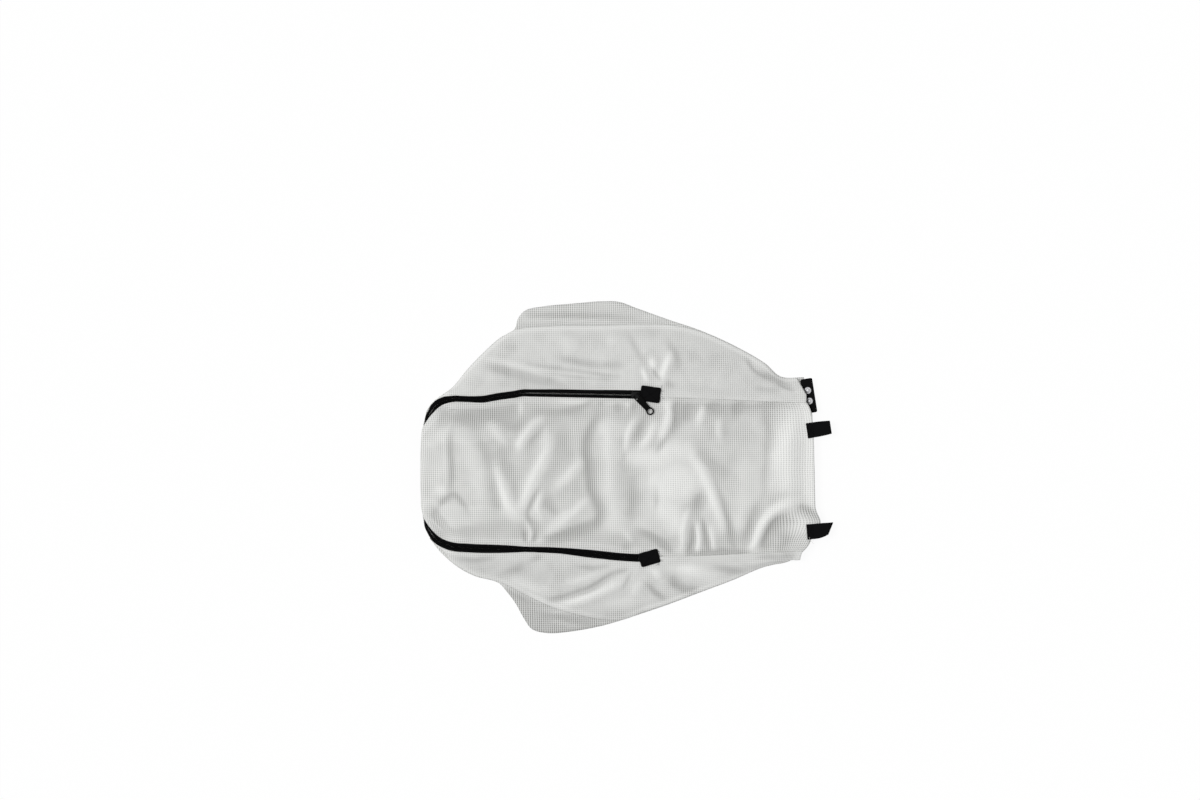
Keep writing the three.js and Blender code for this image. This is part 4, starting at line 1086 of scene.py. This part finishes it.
def fold_side(grid, share, strength, seed):
    """Folds, crinkles and a swell along the edge, where the cloth is free; gives the painted light
    and shade.
    """
    x, y = grid[..., 0].copy(), grid[..., 1].copy()
    width = np.hypot(grid[:, -1, 0] - grid[:, 0, 0], grid[:, -1, 1] - grid[:, 0, 1])[:, None]
    near = rim_distance(x, y)
    hem = 1 - ramp(MOUTH_UPPER[0] - 40, MOUTH_UPPER[0] - 12, x)
    free = ramp(5, 20, near) * ramp(0, 0.22, 1 - share) * ramp(10, 40, width) * hem
    rise, shading = fold_field(x, y, SIDE_FOLDS)
    grid[..., 2] += strength * rise * free
    crinkle = 0.8 * slow_noise(x, y, 26, seed) + 0.35 * slow_noise(x, y, 9, seed + 4)
    grid[..., 2] += crinkle * free * ramp(0, 0.4, 1 - share)
    to_edge = (1 - share) * width
    grid[..., 2] += 0.9 * np.exp(-((to_edge - 5) / 3.5) ** 2) * ramp(30, 60, width) * hem
    grid[..., 2] = np.maximum(grid[..., 2], np.minimum(grid[:, -1:, 2], EDGE_Z))
    # Painted light along the panel's own edge.
    return shading + 0.6 * np.exp(-(to_edge / 8) ** 2)


def side_thickness(grid):
    """Thicker along the rolled seam, from the tab to the mouth, and at the mouth's hem."""
    thickness = np.full(grid.shape[:2], CLOTH)
    seam_x = TAB_UPPER[0] + TAB_LENGTH / 2
    seam = ramp(seam_x + 4, seam_x + 10, grid[:, 0, 0])
    for row, share in enumerate((1, 1, 0.6, 0.2)):
        thickness[:, row] += (ROLLED_SEAM - CLOTH) * share * seam
    thickness[-HEM_ROWS:, 2:-2 * SIDE_FINER[1]] = HEM
    return thickness


def side_uv(grid):
    """Flat place of each node: x stays, and the way across is measured over the surface."""
    steps = np.linalg.norm(np.diff(grid, axis=1), axis=-1)
    across = np.concatenate([np.zeros((len(grid), 1)), np.cumsum(steps, axis=1)], axis=1)
    sign = 1 if grid[0, -1, 1] > 0 else -1
    return np.dstack([grid[..., 0], grid[:, :1, 1] + sign * across])


class BAG_OT_side_panels(bpy.types.Operator):
    """Makes the two side panels, from the rim down to the bottom panel"""

    bl_idname = "bag.side_panels"
    bl_label = "Side panels"

    def execute(self, context):
        strength = context.scene.bag_cloth.fold_strength
        upper, lower = arm_stations()
        plans = (
            ("upper", SIDE_UPPER_EDGE, upper, 14, 1.7),
            ("lower", SIDE_LOWER_EDGE, lower, 1, 8.3),
        )
        for word, edge, stations, mouth_cut, seed in plans:
            grid, share = side_grid(edge, stations, mouth_cut)
            uv = side_uv(grid)
            shading = fold_side(grid, share, strength, seed)
            shape_mouth(grid)
            shading += crest_shading(grid)
            piece = shell(f"side_cloth_{word}", grid, side_thickness(grid), uv, shading)
            finish_piece(piece, "side_mesh_cloth", "mesh_cloth", f"side_panel_{word}")
            stitch_rows[f"side_{word}"] = surface_line(grid, 2, CLOTH)
        return {"FINISHED"}


def ring_row(stations, depth):
    """One row of the top panel beside the rim: edge, second row, or the turn over the end."""
    frames = RimFrames(stations)
    if depth == 0:
        return frames.beside(-cloth_edge(frames, -1), cloth_lift(frames))
    row = frames.beside(-RING[0], cloth_lift(frames))
    if depth == 1:
        return row
    turned = frames.roll * (0.45 if depth == 2 else 0)
    inward = END_RADIUS * (np.sin(frames.roll) - np.sin(turned)) + (RING[depth - 1] - RING[0]) * 0.9
    if depth == 2:
        inward = inward - 4 * np.sin(frames.roll)
    upward = END_RADIUS * (np.cos(turned) - np.cos(frames.roll))
    return row - frames.out * inward[:, None] + np.array([0, 0, 1]) * upward[:, None]


def top_grid():
    """Nodes of the top panel: rings along the rim, and one smooth field inside them."""
    upper, lower = arm_stations()
    cells = np.arange(WIDE_CELLS + 1)
    end = S_CORNER_LOWER + (S_CORNER_UPPER - S_CORNER_LOWER) * cells / WIDE_CELLS
    grid = np.zeros((LONG_CELLS + 1, WIDE_CELLS + 1, 3))
    for depth in range(4):
        grid[depth:, depth] = ring_row(lower[depth:], depth)
        grid[depth:, WIDE_CELLS - depth] = ring_row(upper[depth:], depth)
        middle = end[depth + 1:WIDE_CELLS - depth]
        end_row = np.concatenate([[S_CORNER_LOWER], middle, [S_CORNER_UPPER]])
        grid[depth, depth:WIDE_CELLS - depth + 1] = ring_row(end_row, depth)
    inner = slice(3, WIDE_CELLS - 2)
    t = np.linspace(0, 1, WIDE_CELLS - 5)[:, None]
    grid[-1, inner] = grid[-1, 3] * (1 - t) + grid[-1, WIDE_CELLS - 3] * t
    grid[3:, inner] = coons(grid[3, inner], grid[-1, inner], grid[3:, 3], grid[3:, WIDE_CELLS - 3])
    return refine(grid, *TOP_FINER)


def unrolled_plan(grid):
    """Flat place of each node, with the cloth on the rounded end laid out flat."""
    x, y, z = grid[..., 0], grid[..., 1], grid[..., 2]
    best = np.full(x.shape, 1e9)
    out = np.zeros((*x.shape, 2))
    for k in range(0, len(RIM) - 8, 8):
        px, py = RIM[k]
        direction = RIM[k + 8] - RIM[k]
        direction = direction / np.linalg.norm(direction)
        distance = np.hypot(x - px, y - py)
        closer = distance < best
        best = np.where(closer, distance, best)
        out[closer] = (direction[1], -direction[0])
    rolled = ramp(DIP_START_X, END_X + 1, x)
    drop = np.clip(RIM_HEIGHT + 1.5 - z, 0, 20) * rolled
    return grid[..., :2] + out * drop[..., None]


def fold_top(grid, strength):
    """Folds, crinkles and crown of the top panel, calmer where the slider runs; gives the painted
    light and shade.
    """
    x, y = grid[..., 0].copy(), grid[..., 1].copy()
    near = rim_distance(x, y)
    hem = 1 - ramp(MOUTH_UPPER[0] - 34, MOUTH_UPPER[0] - 8, x)
    slider_lane = ramp(0, 30, y) * (1 - ramp(56, 84, x)) * (1 - ramp(32, 58, near))
    free = ramp(4, 16, near) * hem * (1 - 0.65 * slider_lane)
    rise, shading = fold_field(x, y, TOP_FOLDS)
    crinkle = 0.9 * slow_noise(x, y, 30, 5.2) + 0.4 * slow_noise(x, y, 11, 2.6)
    grid[..., 2] += CROWN * ramp(17, 90, near) * hem + (strength * rise + crinkle) * free
    reach = ramp(MOUTH_UPPER[0] - 60, MOUTH_UPPER[0], x)
    grid[..., 0] += MOUTH_BULGE * reach * (1 - np.minimum(1, np.abs(y / MOUTH_UPPER[1])) ** 8)
    return shading


class BAG_OT_top_panel(bpy.types.Operator):
    """Makes the top panel with the flap, from the rounded end to the hem of the mouth"""

    bl_idname = "bag.top_panel"
    bl_label = "Top panel"

    def execute(self, context):
        grid = top_grid()
        uv = unrolled_plan(grid)
        shading = fold_top(grid, context.scene.bag_cloth.fold_strength)
        shape_mouth(grid)
        thickness = np.full(grid.shape[:2], CLOTH)
        thickness[-HEM_ROWS:] = HEM
        piece = shell("top_cloth", grid, thickness, uv, shading + crest_shading(grid))
        finish_piece(piece, "open_mesh_cloth", "mesh_cloth", "top_panel")
        crossed = grid.swapaxes(0, 1)
        stitch_rows["flap_lower"] = surface_line(grid, 3, CLOTH)
        stitch_rows["flap_upper"] = surface_line(grid, -4, CLOTH)
        stitch_rows["flap_end"] = surface_line(crossed, 3, CLOTH)
        stitch_rows["mouth_hem"] = surface_line(crossed, -HEM_ROWS - 1, CLOTH)
        return {"FINISHED"}


# The zip. Tips of teeth stand apart in the slider's lane and reach past each other elsewhere.
TAPE_STATIONS = 421
TAPE_SHARES = np.linspace(0, 1, 8)
TAPE_UV_START = 700
LANE_X = (-178, -163)
TOOTH_TIP = 0.62
TOOTH_OVERLAP = 1.6
TOOTH_FOOT = 3.95
TOOTH_HEIGHT = 1.95
TOOTH_SIDE = 1.05


def tape_reach(frames, side):
    """How far each tape reaches from the middle of the zip: less round the corners."""
    narrow = ramp(*NARROW_X, frames.middle[:, 0])
    if side < 0:
        return TAPE_OUTER - (TAPE_OUTER - TAPE_CORNER_INNER) * narrow
    hanging = ramp(0.5, 0.95, np.sin(frames.roll))
    reach = TAPE_OUTER - (TAPE_OUTER - TAPE_CORNER) * narrow * (1 - hanging)
    return reach - FLOOR_CLEARANCE * np.sin(frames.roll)


class BAG_OT_zip_tapes(bpy.types.Operator):
    """Makes the two woven zip tapes along the rim"""

    bl_idname = "bag.zip_tapes"
    bl_label = "Zip tapes"

    def execute(self, context):
        stations = np.linspace(S_TAB_UPPER, S_TAB_LOWER, TAPE_STATIONS)
        frames = RimFrames(stations)
        along = stations[:, None] - TAPE_UV_START
        across = (TAPE_INNER + (TAPE_OUTER - TAPE_INNER) * TAPE_SHARES)[None, :]
        for word, side in (("outer", 1), ("inner", -1)):
            width = tape_reach(frames, side) - TAPE_INNER
            rows = [frames.beside(side * (TAPE_INNER + width * share), 0) for share in TAPE_SHARES]
            uv = np.dstack(np.broadcast_arrays(along, side * across))
            piece = shell(f"tape_{word}", np.stack(rows, axis=1), TAPE, uv)
            finish_piece(piece, "woven_zip_tape", "black_webbing", f"zip_tape_{word}")
        return {"FINISHED"}


def tooth_template():
    """One eased tooth, X along the zip, Y from the tip outwards, tip at zero, about 1 in size."""
    bpy.ops.object.select_all(action="DESELECT")
    bpy.ops.mesh.primitive_cube_add(size=1, location=(0, 0, 0))
    tooth = bpy.context.object
    tooth.scale = (1.15, 1, 1)
    bpy.ops.object.transform_apply(scale=True)
    edit(tooth, (bpy.ops.mesh.bevel, {"offset": 0.22, "segments": 1}))
    points = np.array([v.co[:] for v in tooth.data.vertices])
    faces = [tuple(f.vertices) for f in tooth.data.polygons]
    bpy.data.objects.remove(tooth)
    points[:, 1] += 0.5
    return points, faces


class BAG_OT_zip_chain(bpy.types.Operator):
    """Makes the two rows of zip teeth, meshed with each other away from the slider's lane"""

    bl_idname = "bag.zip_chain"
    bl_label = "Zip chain"

    def execute(self, context):
        points, faces = tooth_template()
        pitch = context.scene.bag_zip.tooth_pitch / MM
        first = S_TAB_UPPER + TAB_LENGTH / 2 + 1.5
        count = int((S_TAB_LOWER - TAB_LENGTH / 2 - 2 - first) / pitch)
        for word, side in (("outer", 1), ("inner", -1)):
            frames = RimFrames(first + pitch * (np.arange(count) + (0.5 if side < 0 else 0)))
            lane = 1 - ramp(*LANE_X, frames.middle[:, 0]) * (frames.middle[:, 1] > 0)
            tip = TOOTH_TIP - TOOTH_OVERLAP * lane
            lift = (TAPE + 2) / 2 + GAP + 0.7 * np.sin(frames.roll)
            across, normal = frames.across(), frames.normal()
            parts = []
            for k in range(count):
                local = (frames.along[k] * points[:, :1] * TOOTH_SIDE
                         + across[k] * side * (tip[k] + points[:, 1:2] * (TOOTH_FOOT - tip[k]))
                         + normal[k] * (lift[k] + points[:, 2:3] * TOOTH_HEIGHT))
                parts.append((frames.middle[k] + local, faces))
            piece = from_parts(f"chain_{word}", parts)
            edit(piece, FACE_OUTWARD)
            smooth_by_angle(piece, 50)
            finish_piece(piece, "dark_nylon", "nylon_chain", f"zip_teeth_{word}")
        return {"FINISHED"}


class BAG_OT_slider_and_pull(bpy.types.Operator):
    """Rounds the zip slider and its pull tab and gives them black enamel"""

    bl_idname = "bag.slider_and_pull"
    bl_label = "Slider and pull"

    def execute(self, context):
        slider = rounded_copy("zip_slider", "slider_body", 0.22)
        finish_piece(slider, "dark_enamel", "black_enamel", "zip_slider", body="slider")
        pull = rounded_copy("zip_pull", "pull_tab", 0.35, 3)
        finish_piece(pull, "dark_enamel", "black_enamel", "zip_pull", body="pull")
        return {"FINISHED"}


# Sewn-on webbing.
def turned_about(points, centre, degrees):
    a = math.radians(degrees)
    x, y = points[..., 0] - centre[0], points[..., 1] - centre[1]
    turned = points.copy()
    turned[..., 0] = centre[0] + x * math.cos(a) - y * math.sin(a)
    turned[..., 1] = centre[1] + x * math.sin(a) + y * math.cos(a)
    return turned


def tab_grid(place, turn, width, seed):
    """A webbing tab with eased corners, a little wavy on top of the zip's end."""
    half = (TAB_LENGTH / 2, width / 2)
    plan = np.meshgrid(np.linspace(-half[0], half[0], 45), np.linspace(-half[1], half[1], 37),
                       indexing="ij")
    past = [np.maximum(np.abs(value) - reach + TAB_CORNER, 0) for value, reach in zip(plan, half)]
    corner = np.hypot(*past)
    ease = TAB_CORNER / np.maximum(corner, TAB_CORNER)
    rounded = (np.sign(value) * (reach - TAB_CORNER + over * ease)
               for value, reach, over in zip(plan, half, past))
    x, y = (np.where(corner > TAB_CORNER, turned, value) for turned, value in zip(rounded, plan))
    base = RIM_HEIGHT + TAPE / 2 + 2 * GAP + CLOTH + WEBBING / 2
    rise = 0.25 * (slow_noise(x, y, 9, seed) + 1) + 0.5 * np.exp(-(y / 5) ** 2)
    grid = np.dstack([x, y, base + rise * 0.3])
    grid[..., :2] += place
    return turned_about(grid, place, turn), np.dstack([x, y])


def stitch_parts(line, pitch, length=0.68, radius=0.26, lift=0.1):
    """Short stitches along a line of places, each a small rounded tube that dips at both ends."""
    run = np.concatenate([[0], np.cumsum(np.linalg.norm(np.diff(line, axis=0), axis=1))])
    shares, heights = np.array([(0.0, -0.35), (0.2, 0.5), (0.8, 0.5), (1.0, -0.35)]).T
    parts = []
    for start in np.arange(pitch / 2, run[-1] - pitch, pitch):
        at = start + shares * pitch * length
        path = np.stack([np.interp(at, run, line[:, k]) for k in range(3)], axis=1)
        path[:, 2] += heights * radius + lift
        parts.append(tube(path, radius))
    return parts


def box_stitches(low, high, top, steps, crown, place, turn):
    """A stitched box with both diagonals, turned about its place."""
    (x0, y0), (x1, y1) = low, high
    corners = [(x0, y0), (x1, y0), (x1, y1), (x0, y1), (x0, y0), (x1, y1)]
    parts = []
    for start, end in [*zip(corners[:-1], corners[1:]), ((x0, y1), (x1, y0))]:
        line = np.linspace((*start, top), (*end, top), steps)
        line[:, 2] += crown * np.exp(-(line[:, 1] / 5) ** 2)
        line[:, :2] += place
        parts += stitch_parts(turned_about(line, place, turn), BOX_STITCH)
    return parts


def sew_on(piece, kind, word, stitches, replaced):
    """Finishes a tab or loop and makes its own stitching."""
    finish_piece(piece, "woven_webbing", "black_webbing", replaced)
    thread = from_parts(f"{kind}_stitching_{word}", stitches)
    finish_piece(thread, "black_thread", "black_webbing")


class BAG_OT_zip_end_tabs(bpy.types.Operator):
    """Makes the two webbing tabs over the ends of the zip, with box stitching"""

    bl_idname = "bag.zip_end_tabs"
    bl_label = "Zip end tabs"

    def execute(self, context):
        top = RIM_HEIGHT + TAPE / 2 + 2 * GAP + CLOTH + WEBBING + 0.1
        for word, place, turn, width, seed in TABS:
            grid, uv = tab_grid(place, turn, width, seed)
            piece = shell(f"tab_{word}", grid, WEBBING, uv)
            ease_edges(piece, 0.4, 50)
            a, b = TAB_LENGTH / 2 - 3, width / 2 - 3
            stitches = box_stitches((-a, -b), (a, b), top, 12, 0.12, place, turn)
            sew_on(piece, "tab", word, stitches, f"zip_end_tab_{word}")
        return {"FINISHED"}


def loop_profile(steps):
    """Middle line of a folded loop from under the hem, round the bend, to the top of the hem."""
    middle = HEM / 2 + GAP + WEBBING / 2
    bend = LOOP_LENGTH - LOOP_SEWN - middle - WEBBING / 2
    angle = np.linspace(-90, 90, 17)[1:-1] * math.pi / 180
    under = [(x, -middle) for x in np.linspace(-LOOP_SEWN, bend, 22)]
    arc = [(bend + middle * math.cos(a), middle * math.sin(a)) for a in angle]
    over = [(x, middle) for x in np.linspace(bend, -LOOP_SEWN, 22)]
    return even_spaced(np.array(under + arc + over), steps)


def loop_grid(y, turn, slant, curl, narrowing, skew, steps):
    """A folded loop that leans, curls and narrows more the further it reaches past the hem."""
    profile = loop_profile(steps)
    run = np.linspace(0, 2 * LOOP_LENGTH, steps)[:, None]
    across = np.linspace(-LOOP_WIDTH / 2, LOOP_WIDTH / 2, 25)[None, :]
    beyond = np.clip(profile[:, 0] / (LOOP_LENGTH - LOOP_SEWN), 0, 1)[:, None] ** 2
    hem = MOUTH_HEIGHT + (TAPE + CLOTH) / 2 + GAP
    x = profile[:, :1] + slant * across * beyond
    z = hem + profile[:, 1:] + curl * beyond * (across / (LOOP_WIDTH / 2))
    z = z + 0.8 * abs(curl) * beyond
    centre = (MOUTH_UPPER[0] + MOUTH_BULGE, y)
    sideways = y + across * (1 - narrowing * beyond) + skew * beyond
    grid = np.dstack(np.broadcast_arrays(centre[0] + x, sideways, z))
    return turned_about(grid, centre, turn), np.dstack(np.broadcast_arrays(run, across))


class BAG_OT_mouth_loops(bpy.types.Operator):
    """Makes the two folded webbing loops on the hem of the mouth"""

    bl_idname = "bag.mouth_loops"
    bl_label = "Mouth loops"

    def execute(self, context):
        steps = context.scene.bag_webbing.loop_steps
        top = MOUTH_HEIGHT + (TAPE + CLOTH) / 2 + GAP + HEM / 2 + GAP + WEBBING
        a, b = LOOP_SEWN - 2.2, LOOP_WIDTH / 2 - 2.5
        for word, y, turn, *lie in LOOPS:
            grid, uv = loop_grid(y, turn, *lie, steps)
            piece = shell(f"loop_{word}", grid, WEBBING, uv)
            edit(piece, FACE_OUTWARD)
            ease_edges(piece, 0.35, 50)
            place = (MOUTH_UPPER[0] + MOUTH_BULGE, y)
            stitches = box_stitches((-a, -b), (-1.5, b), top, 10, 0, place, turn)
            sew_on(piece, "loop", word, stitches, f"mouth_loop_{word}")
        return {"FINISHED"}


# The strip with two snaps. Profiles hold radius as a share of the cap's and height.
SNAP_DOME = (
    (0, 0), (0.8, 0), (0.97, 0.1), (1, 0.35), (0.97, 0.7), (0.9, 0.95), (0.78, 1.25), (0.7, 1.2),
    (0.62, 1.5), (0.45, 2.1), (0.25, 2.45), (0, SNAP_HEIGHT),
)
SNAP_BACK = (
    (0, -1), (0.5, -1), (0.6, -0.8), (0.72, -1), (0.9, -0.95), (1, -0.6), (1, -0.1), (0.9, 0),
    (0, 0),
)


def snap_matrix(along, lift):
    return (Matrix.Translation(Vector(SNAP_PLACE) * MM)
            @ Matrix.Rotation(math.radians(-90 + SNAP_LEAN), 4, "Z")
            @ Matrix.Rotation(math.radians(SNAP_TILT), 4, "X")
            @ Matrix.Translation((along * MM, 0, lift * MM)))


def snap_piece(name, profile, placed, replaced):
    """A round plated piece, spun from its profile."""
    radius = SNAP_DIAMETER / 2
    points = [(radius * share, 0, height) for share, height in profile]
    piece = mesh_object(name, points, [(k, k + 1) for k in range(len(points) - 1)], [])
    full_turn = {"steps": 48, "angle": 2 * math.pi, "center": (0, 0, 0), "axis": (0, 0, 1)}
    edit(piece, (bpy.ops.mesh.spin, full_turn),
         (bpy.ops.mesh.remove_doubles, {"threshold": 0.005 * MM}), FACE_OUTWARD)
    piece.data.transform(placed)
    smooth_by_angle(piece, 38)
    finish_piece(piece, "bright_plating", "plated_steel", replaced)


class BAG_OT_snap_strip(bpy.types.Operator):
    """Makes the webbing strip with its two snap fasteners"""

    bl_idname = "bag.snap_strip"
    bl_label = "Snap strip"

    def execute(self, context):
        strip = rounded_copy("snap_tab", "snap_strip", 0.4)
        finish_piece(strip, "woven_strip", "black_webbing", "snap_tab")
        for k, along in ((1, -SNAP_SPACING / 2), (2, SNAP_SPACING / 2)):
            snap_piece(f"cap_{k}", SNAP_DOME, snap_matrix(along, WEBBING + GAP), f"snap_cap_{k}")
            snap_piece(f"cap_back_{k}", SNAP_BACK, snap_matrix(along, -GAP), f"snap_back_{k}")
        return {"FINISHED"}


# Stitches and loose thread ends.
THREAD_STEPS = 8


def thread_end(start, seed, length, height):
    """A short loose thread that curls away from where it was cut."""
    turn = seed * 2.4
    step = length / THREAD_STEPS
    path = [np.array(start, float)]
    for k in range(1, THREAD_STEPS + 1):
        turn += 0.45 * math.sin(seed * 3.1 + k)
        rise = height * math.sin(k / THREAD_STEPS * math.pi) / 4
        rise = rise if k <= THREAD_STEPS // 2 else -rise
        path.append(path[-1] + [step * math.cos(turn), step * math.sin(turn), rise])
    return tube(np.array(path), 0.16)


class BAG_OT_stitching(bpy.types.Operator):
    """Sews the panels to the zip and each other, and leaves the cut thread ends at the tabs"""

    bl_idname = "bag.stitching"
    bl_label = "Stitching"

    def execute(self, context):
        pitch = context.scene.bag_zip.stitch_pitch / MM
        groups = {
            "flap_stitching": ("flap_lower", "flap_upper", "flap_end"),
            "side_stitching": ("side_upper", "side_lower"),
            "hem_stitching": ("mouth_hem",),
        }
        for name, rows in groups.items():
            parts = []
            for row in rows:
                if row not in stitch_rows:
                    raise RuntimeError(f"{name}: make the panels before their stitching")
                parts += stitch_parts(stitch_rows[row], pitch)
            finish_piece(from_parts(name, parts), "white_thread", "mesh_cloth")
        ends = []
        for place, side in ((TAB_UPPER, 1), (TAB_LOWER, -1)):
            for k in range(7):
                start = (place[0] + TAB_LENGTH / 2 - 1, place[1] + (k - 3) * 3.4, RIM_HEIGHT + 3.4)
                ends.append(thread_end(start, k * 0.37 + side, 5 + 1.3 * (k % 4), 1.5))
        finish_piece(from_parts("tab_thread_ends", ends), "black_thread", "black_webbing")
        knot = [thread_end((311 + k * 0.6, -104 - k * 0.5, 20.6), 0.9 + k * 0.7, 9, 1.6)
                for k in range(5)]
        finish_piece(from_parts("loop_thread_ends", knot), "white_thread", "mesh_cloth")
        return {"FINISHED"}


# Camera, floor and light.
def floor_material():
    """Matt floor that the camera sees nearly as white as the background, with a shadow."""
    material, graph, surface = new_material("pale_floor")
    surface["Base Color"].default_value = (0.95, 0.95, 0.95, 1)
    surface["Roughness"].default_value = 0.9
    surface["Specular IOR Level"].default_value = 0.0
    glow = graph.add("ShaderNodeEmission")
    glow.inputs["Color"].default_value = WHITE
    glow.inputs["Strength"].default_value = 1.0
    mixed = graph.add("ShaderNodeMixShader")
    graph.put(mixed.inputs[0], graph.times(graph.seen_directly(), FLOOR_GLOW))
    graph.put(mixed.inputs[1], graph.find("BSDF_PRINCIPLED").outputs[0])
    graph.put(mixed.inputs[2], glow.outputs[0])
    graph.put(graph.find("OUTPUT_MATERIAL").inputs["Surface"], mixed.outputs[0])
    return material


def light_world(level):
    """Even light of that level, plain white where the camera looks past the floor."""
    world = bpy.context.scene.world or bpy.data.worlds.new("studio")
    bpy.context.scene.world = world
    world.use_nodes = True
    graph = Graph(world.node_tree)
    world.node_tree.nodes.clear()
    sky = graph.add("ShaderNodeBackground")
    sky.inputs["Color"].default_value = WHITE
    graph.put(sky.inputs["Strength"], graph.step(graph.seen_directly(), 0.0, 1.0, level, 1.0))
    graph.put(graph.add("ShaderNodeOutputWorld").inputs["Surface"], sky.outputs[0])


class BAG_OT_stage(bpy.types.Operator):
    """Sets up the pale floor, the soft lamp and the camera that looks straight down"""

    bl_idname = "bag.stage"
    bl_label = "Stage"

    def execute(self, context):
        settings = context.scene.bag_stage
        bpy.ops.object.select_all(action="DESELECT")
        bpy.ops.mesh.primitive_plane_add(size=FLOOR_SIZE, location=(0, 0, FLOOR_Z))
        floor = context.object
        floor.name = "floor"
        bpy.ops.object.transform_apply(location=True, rotation=True, scale=True)
        floor.data.materials.append(floor_material())
        light_world(settings.world_level)
        lamp = bpy.data.lights.new("key_lamp", "SUN")
        lamp.energy = settings.key_level
        lamp.angle = math.radians(LAMP_SPREAD)
        key = bpy.data.objects.new("key_lamp", lamp)
        key.rotation_euler = Vector(LAMP_DIRECTION).to_track_quat("-Z", "Y").to_euler()
        context.collection.objects.link(key)
        camera = bpy.data.cameras.new("camera")
        camera.sensor_width = SENSOR_WIDTH
        camera.lens = SENSOR_WIDTH * settings.camera_height / settings.frame_width
        camera.clip_end = CAMERA_REACH
        holder = bpy.data.objects.new("camera", camera)
        holder.location = (*CAMERA_PLACE, settings.camera_height)
        context.collection.objects.link(holder)
        context.scene.camera = holder
        context.scene.view_settings.view_transform = "Standard"
        return {"FINISHED"}


class BAG_PT_panel(bpy.types.Panel):
    """The steps that build the grass bag"""

    bl_label = "Grass bag"
    bl_idname = "BAG_PT_panel"
    bl_space_type = "VIEW_3D"
    bl_region_type = "UI"
    bl_category = "Grass bag"

    def draw(self, context):
        scene = context.scene
        for group in (scene.bag_cloth, scene.bag_zip, scene.bag_webbing, scene.bag_stage):
            box = self.layout.box()
            for key in group.__annotations__:
                box.prop(group, key)
        for step in STEPS:
            self.layout.operator(step.bl_idname)


SETTINGS = {
    "bag_cloth": BagClothSettings, "bag_zip": BagZipSettings,
    "bag_webbing": BagWebbingSettings, "bag_stage": BagStageSettings,
}
STEPS = (
    BAG_OT_bottom_panel, BAG_OT_side_panels, BAG_OT_top_panel, BAG_OT_zip_tapes,
    BAG_OT_zip_chain, BAG_OT_slider_and_pull, BAG_OT_zip_end_tabs, BAG_OT_mouth_loops,
    BAG_OT_snap_strip, BAG_OT_stitching, BAG_OT_stage,
)


def register():
    for group in SETTINGS.values():
        bpy.utils.register_class(group)
    for step in (*STEPS, BAG_PT_panel):
        bpy.utils.register_class(step)
    for name, group in SETTINGS.items():
        setattr(bpy.types.Scene, name, PointerProperty(type=group))


def unregister():
    for name in SETTINGS:
        delattr(bpy.types.Scene, name)
    for step in reversed((*STEPS, BAG_PT_panel)):
        bpy.utils.unregister_class(step)
    for group in reversed(SETTINGS.values()):
        bpy.utils.unregister_class(group)


def main():
    register()
    open_weave_group()
    rib_weave_group()
    handled_surface_group()
    bpy.ops.bag.bottom_panel()
    bpy.ops.bag.side_panels()
    bpy.ops.bag.top_panel()
    bpy.ops.bag.zip_tapes()
    bpy.ops.bag.zip_chain()
    bpy.ops.bag.slider_and_pull()
    bpy.ops.bag.zip_end_tabs()
    bpy.ops.bag.mouth_loops()
    bpy.ops.bag.snap_strip()
    bpy.ops.bag.stitching()
    bpy.ops.bag.stage()


if __name__ == "__main__":
    main()
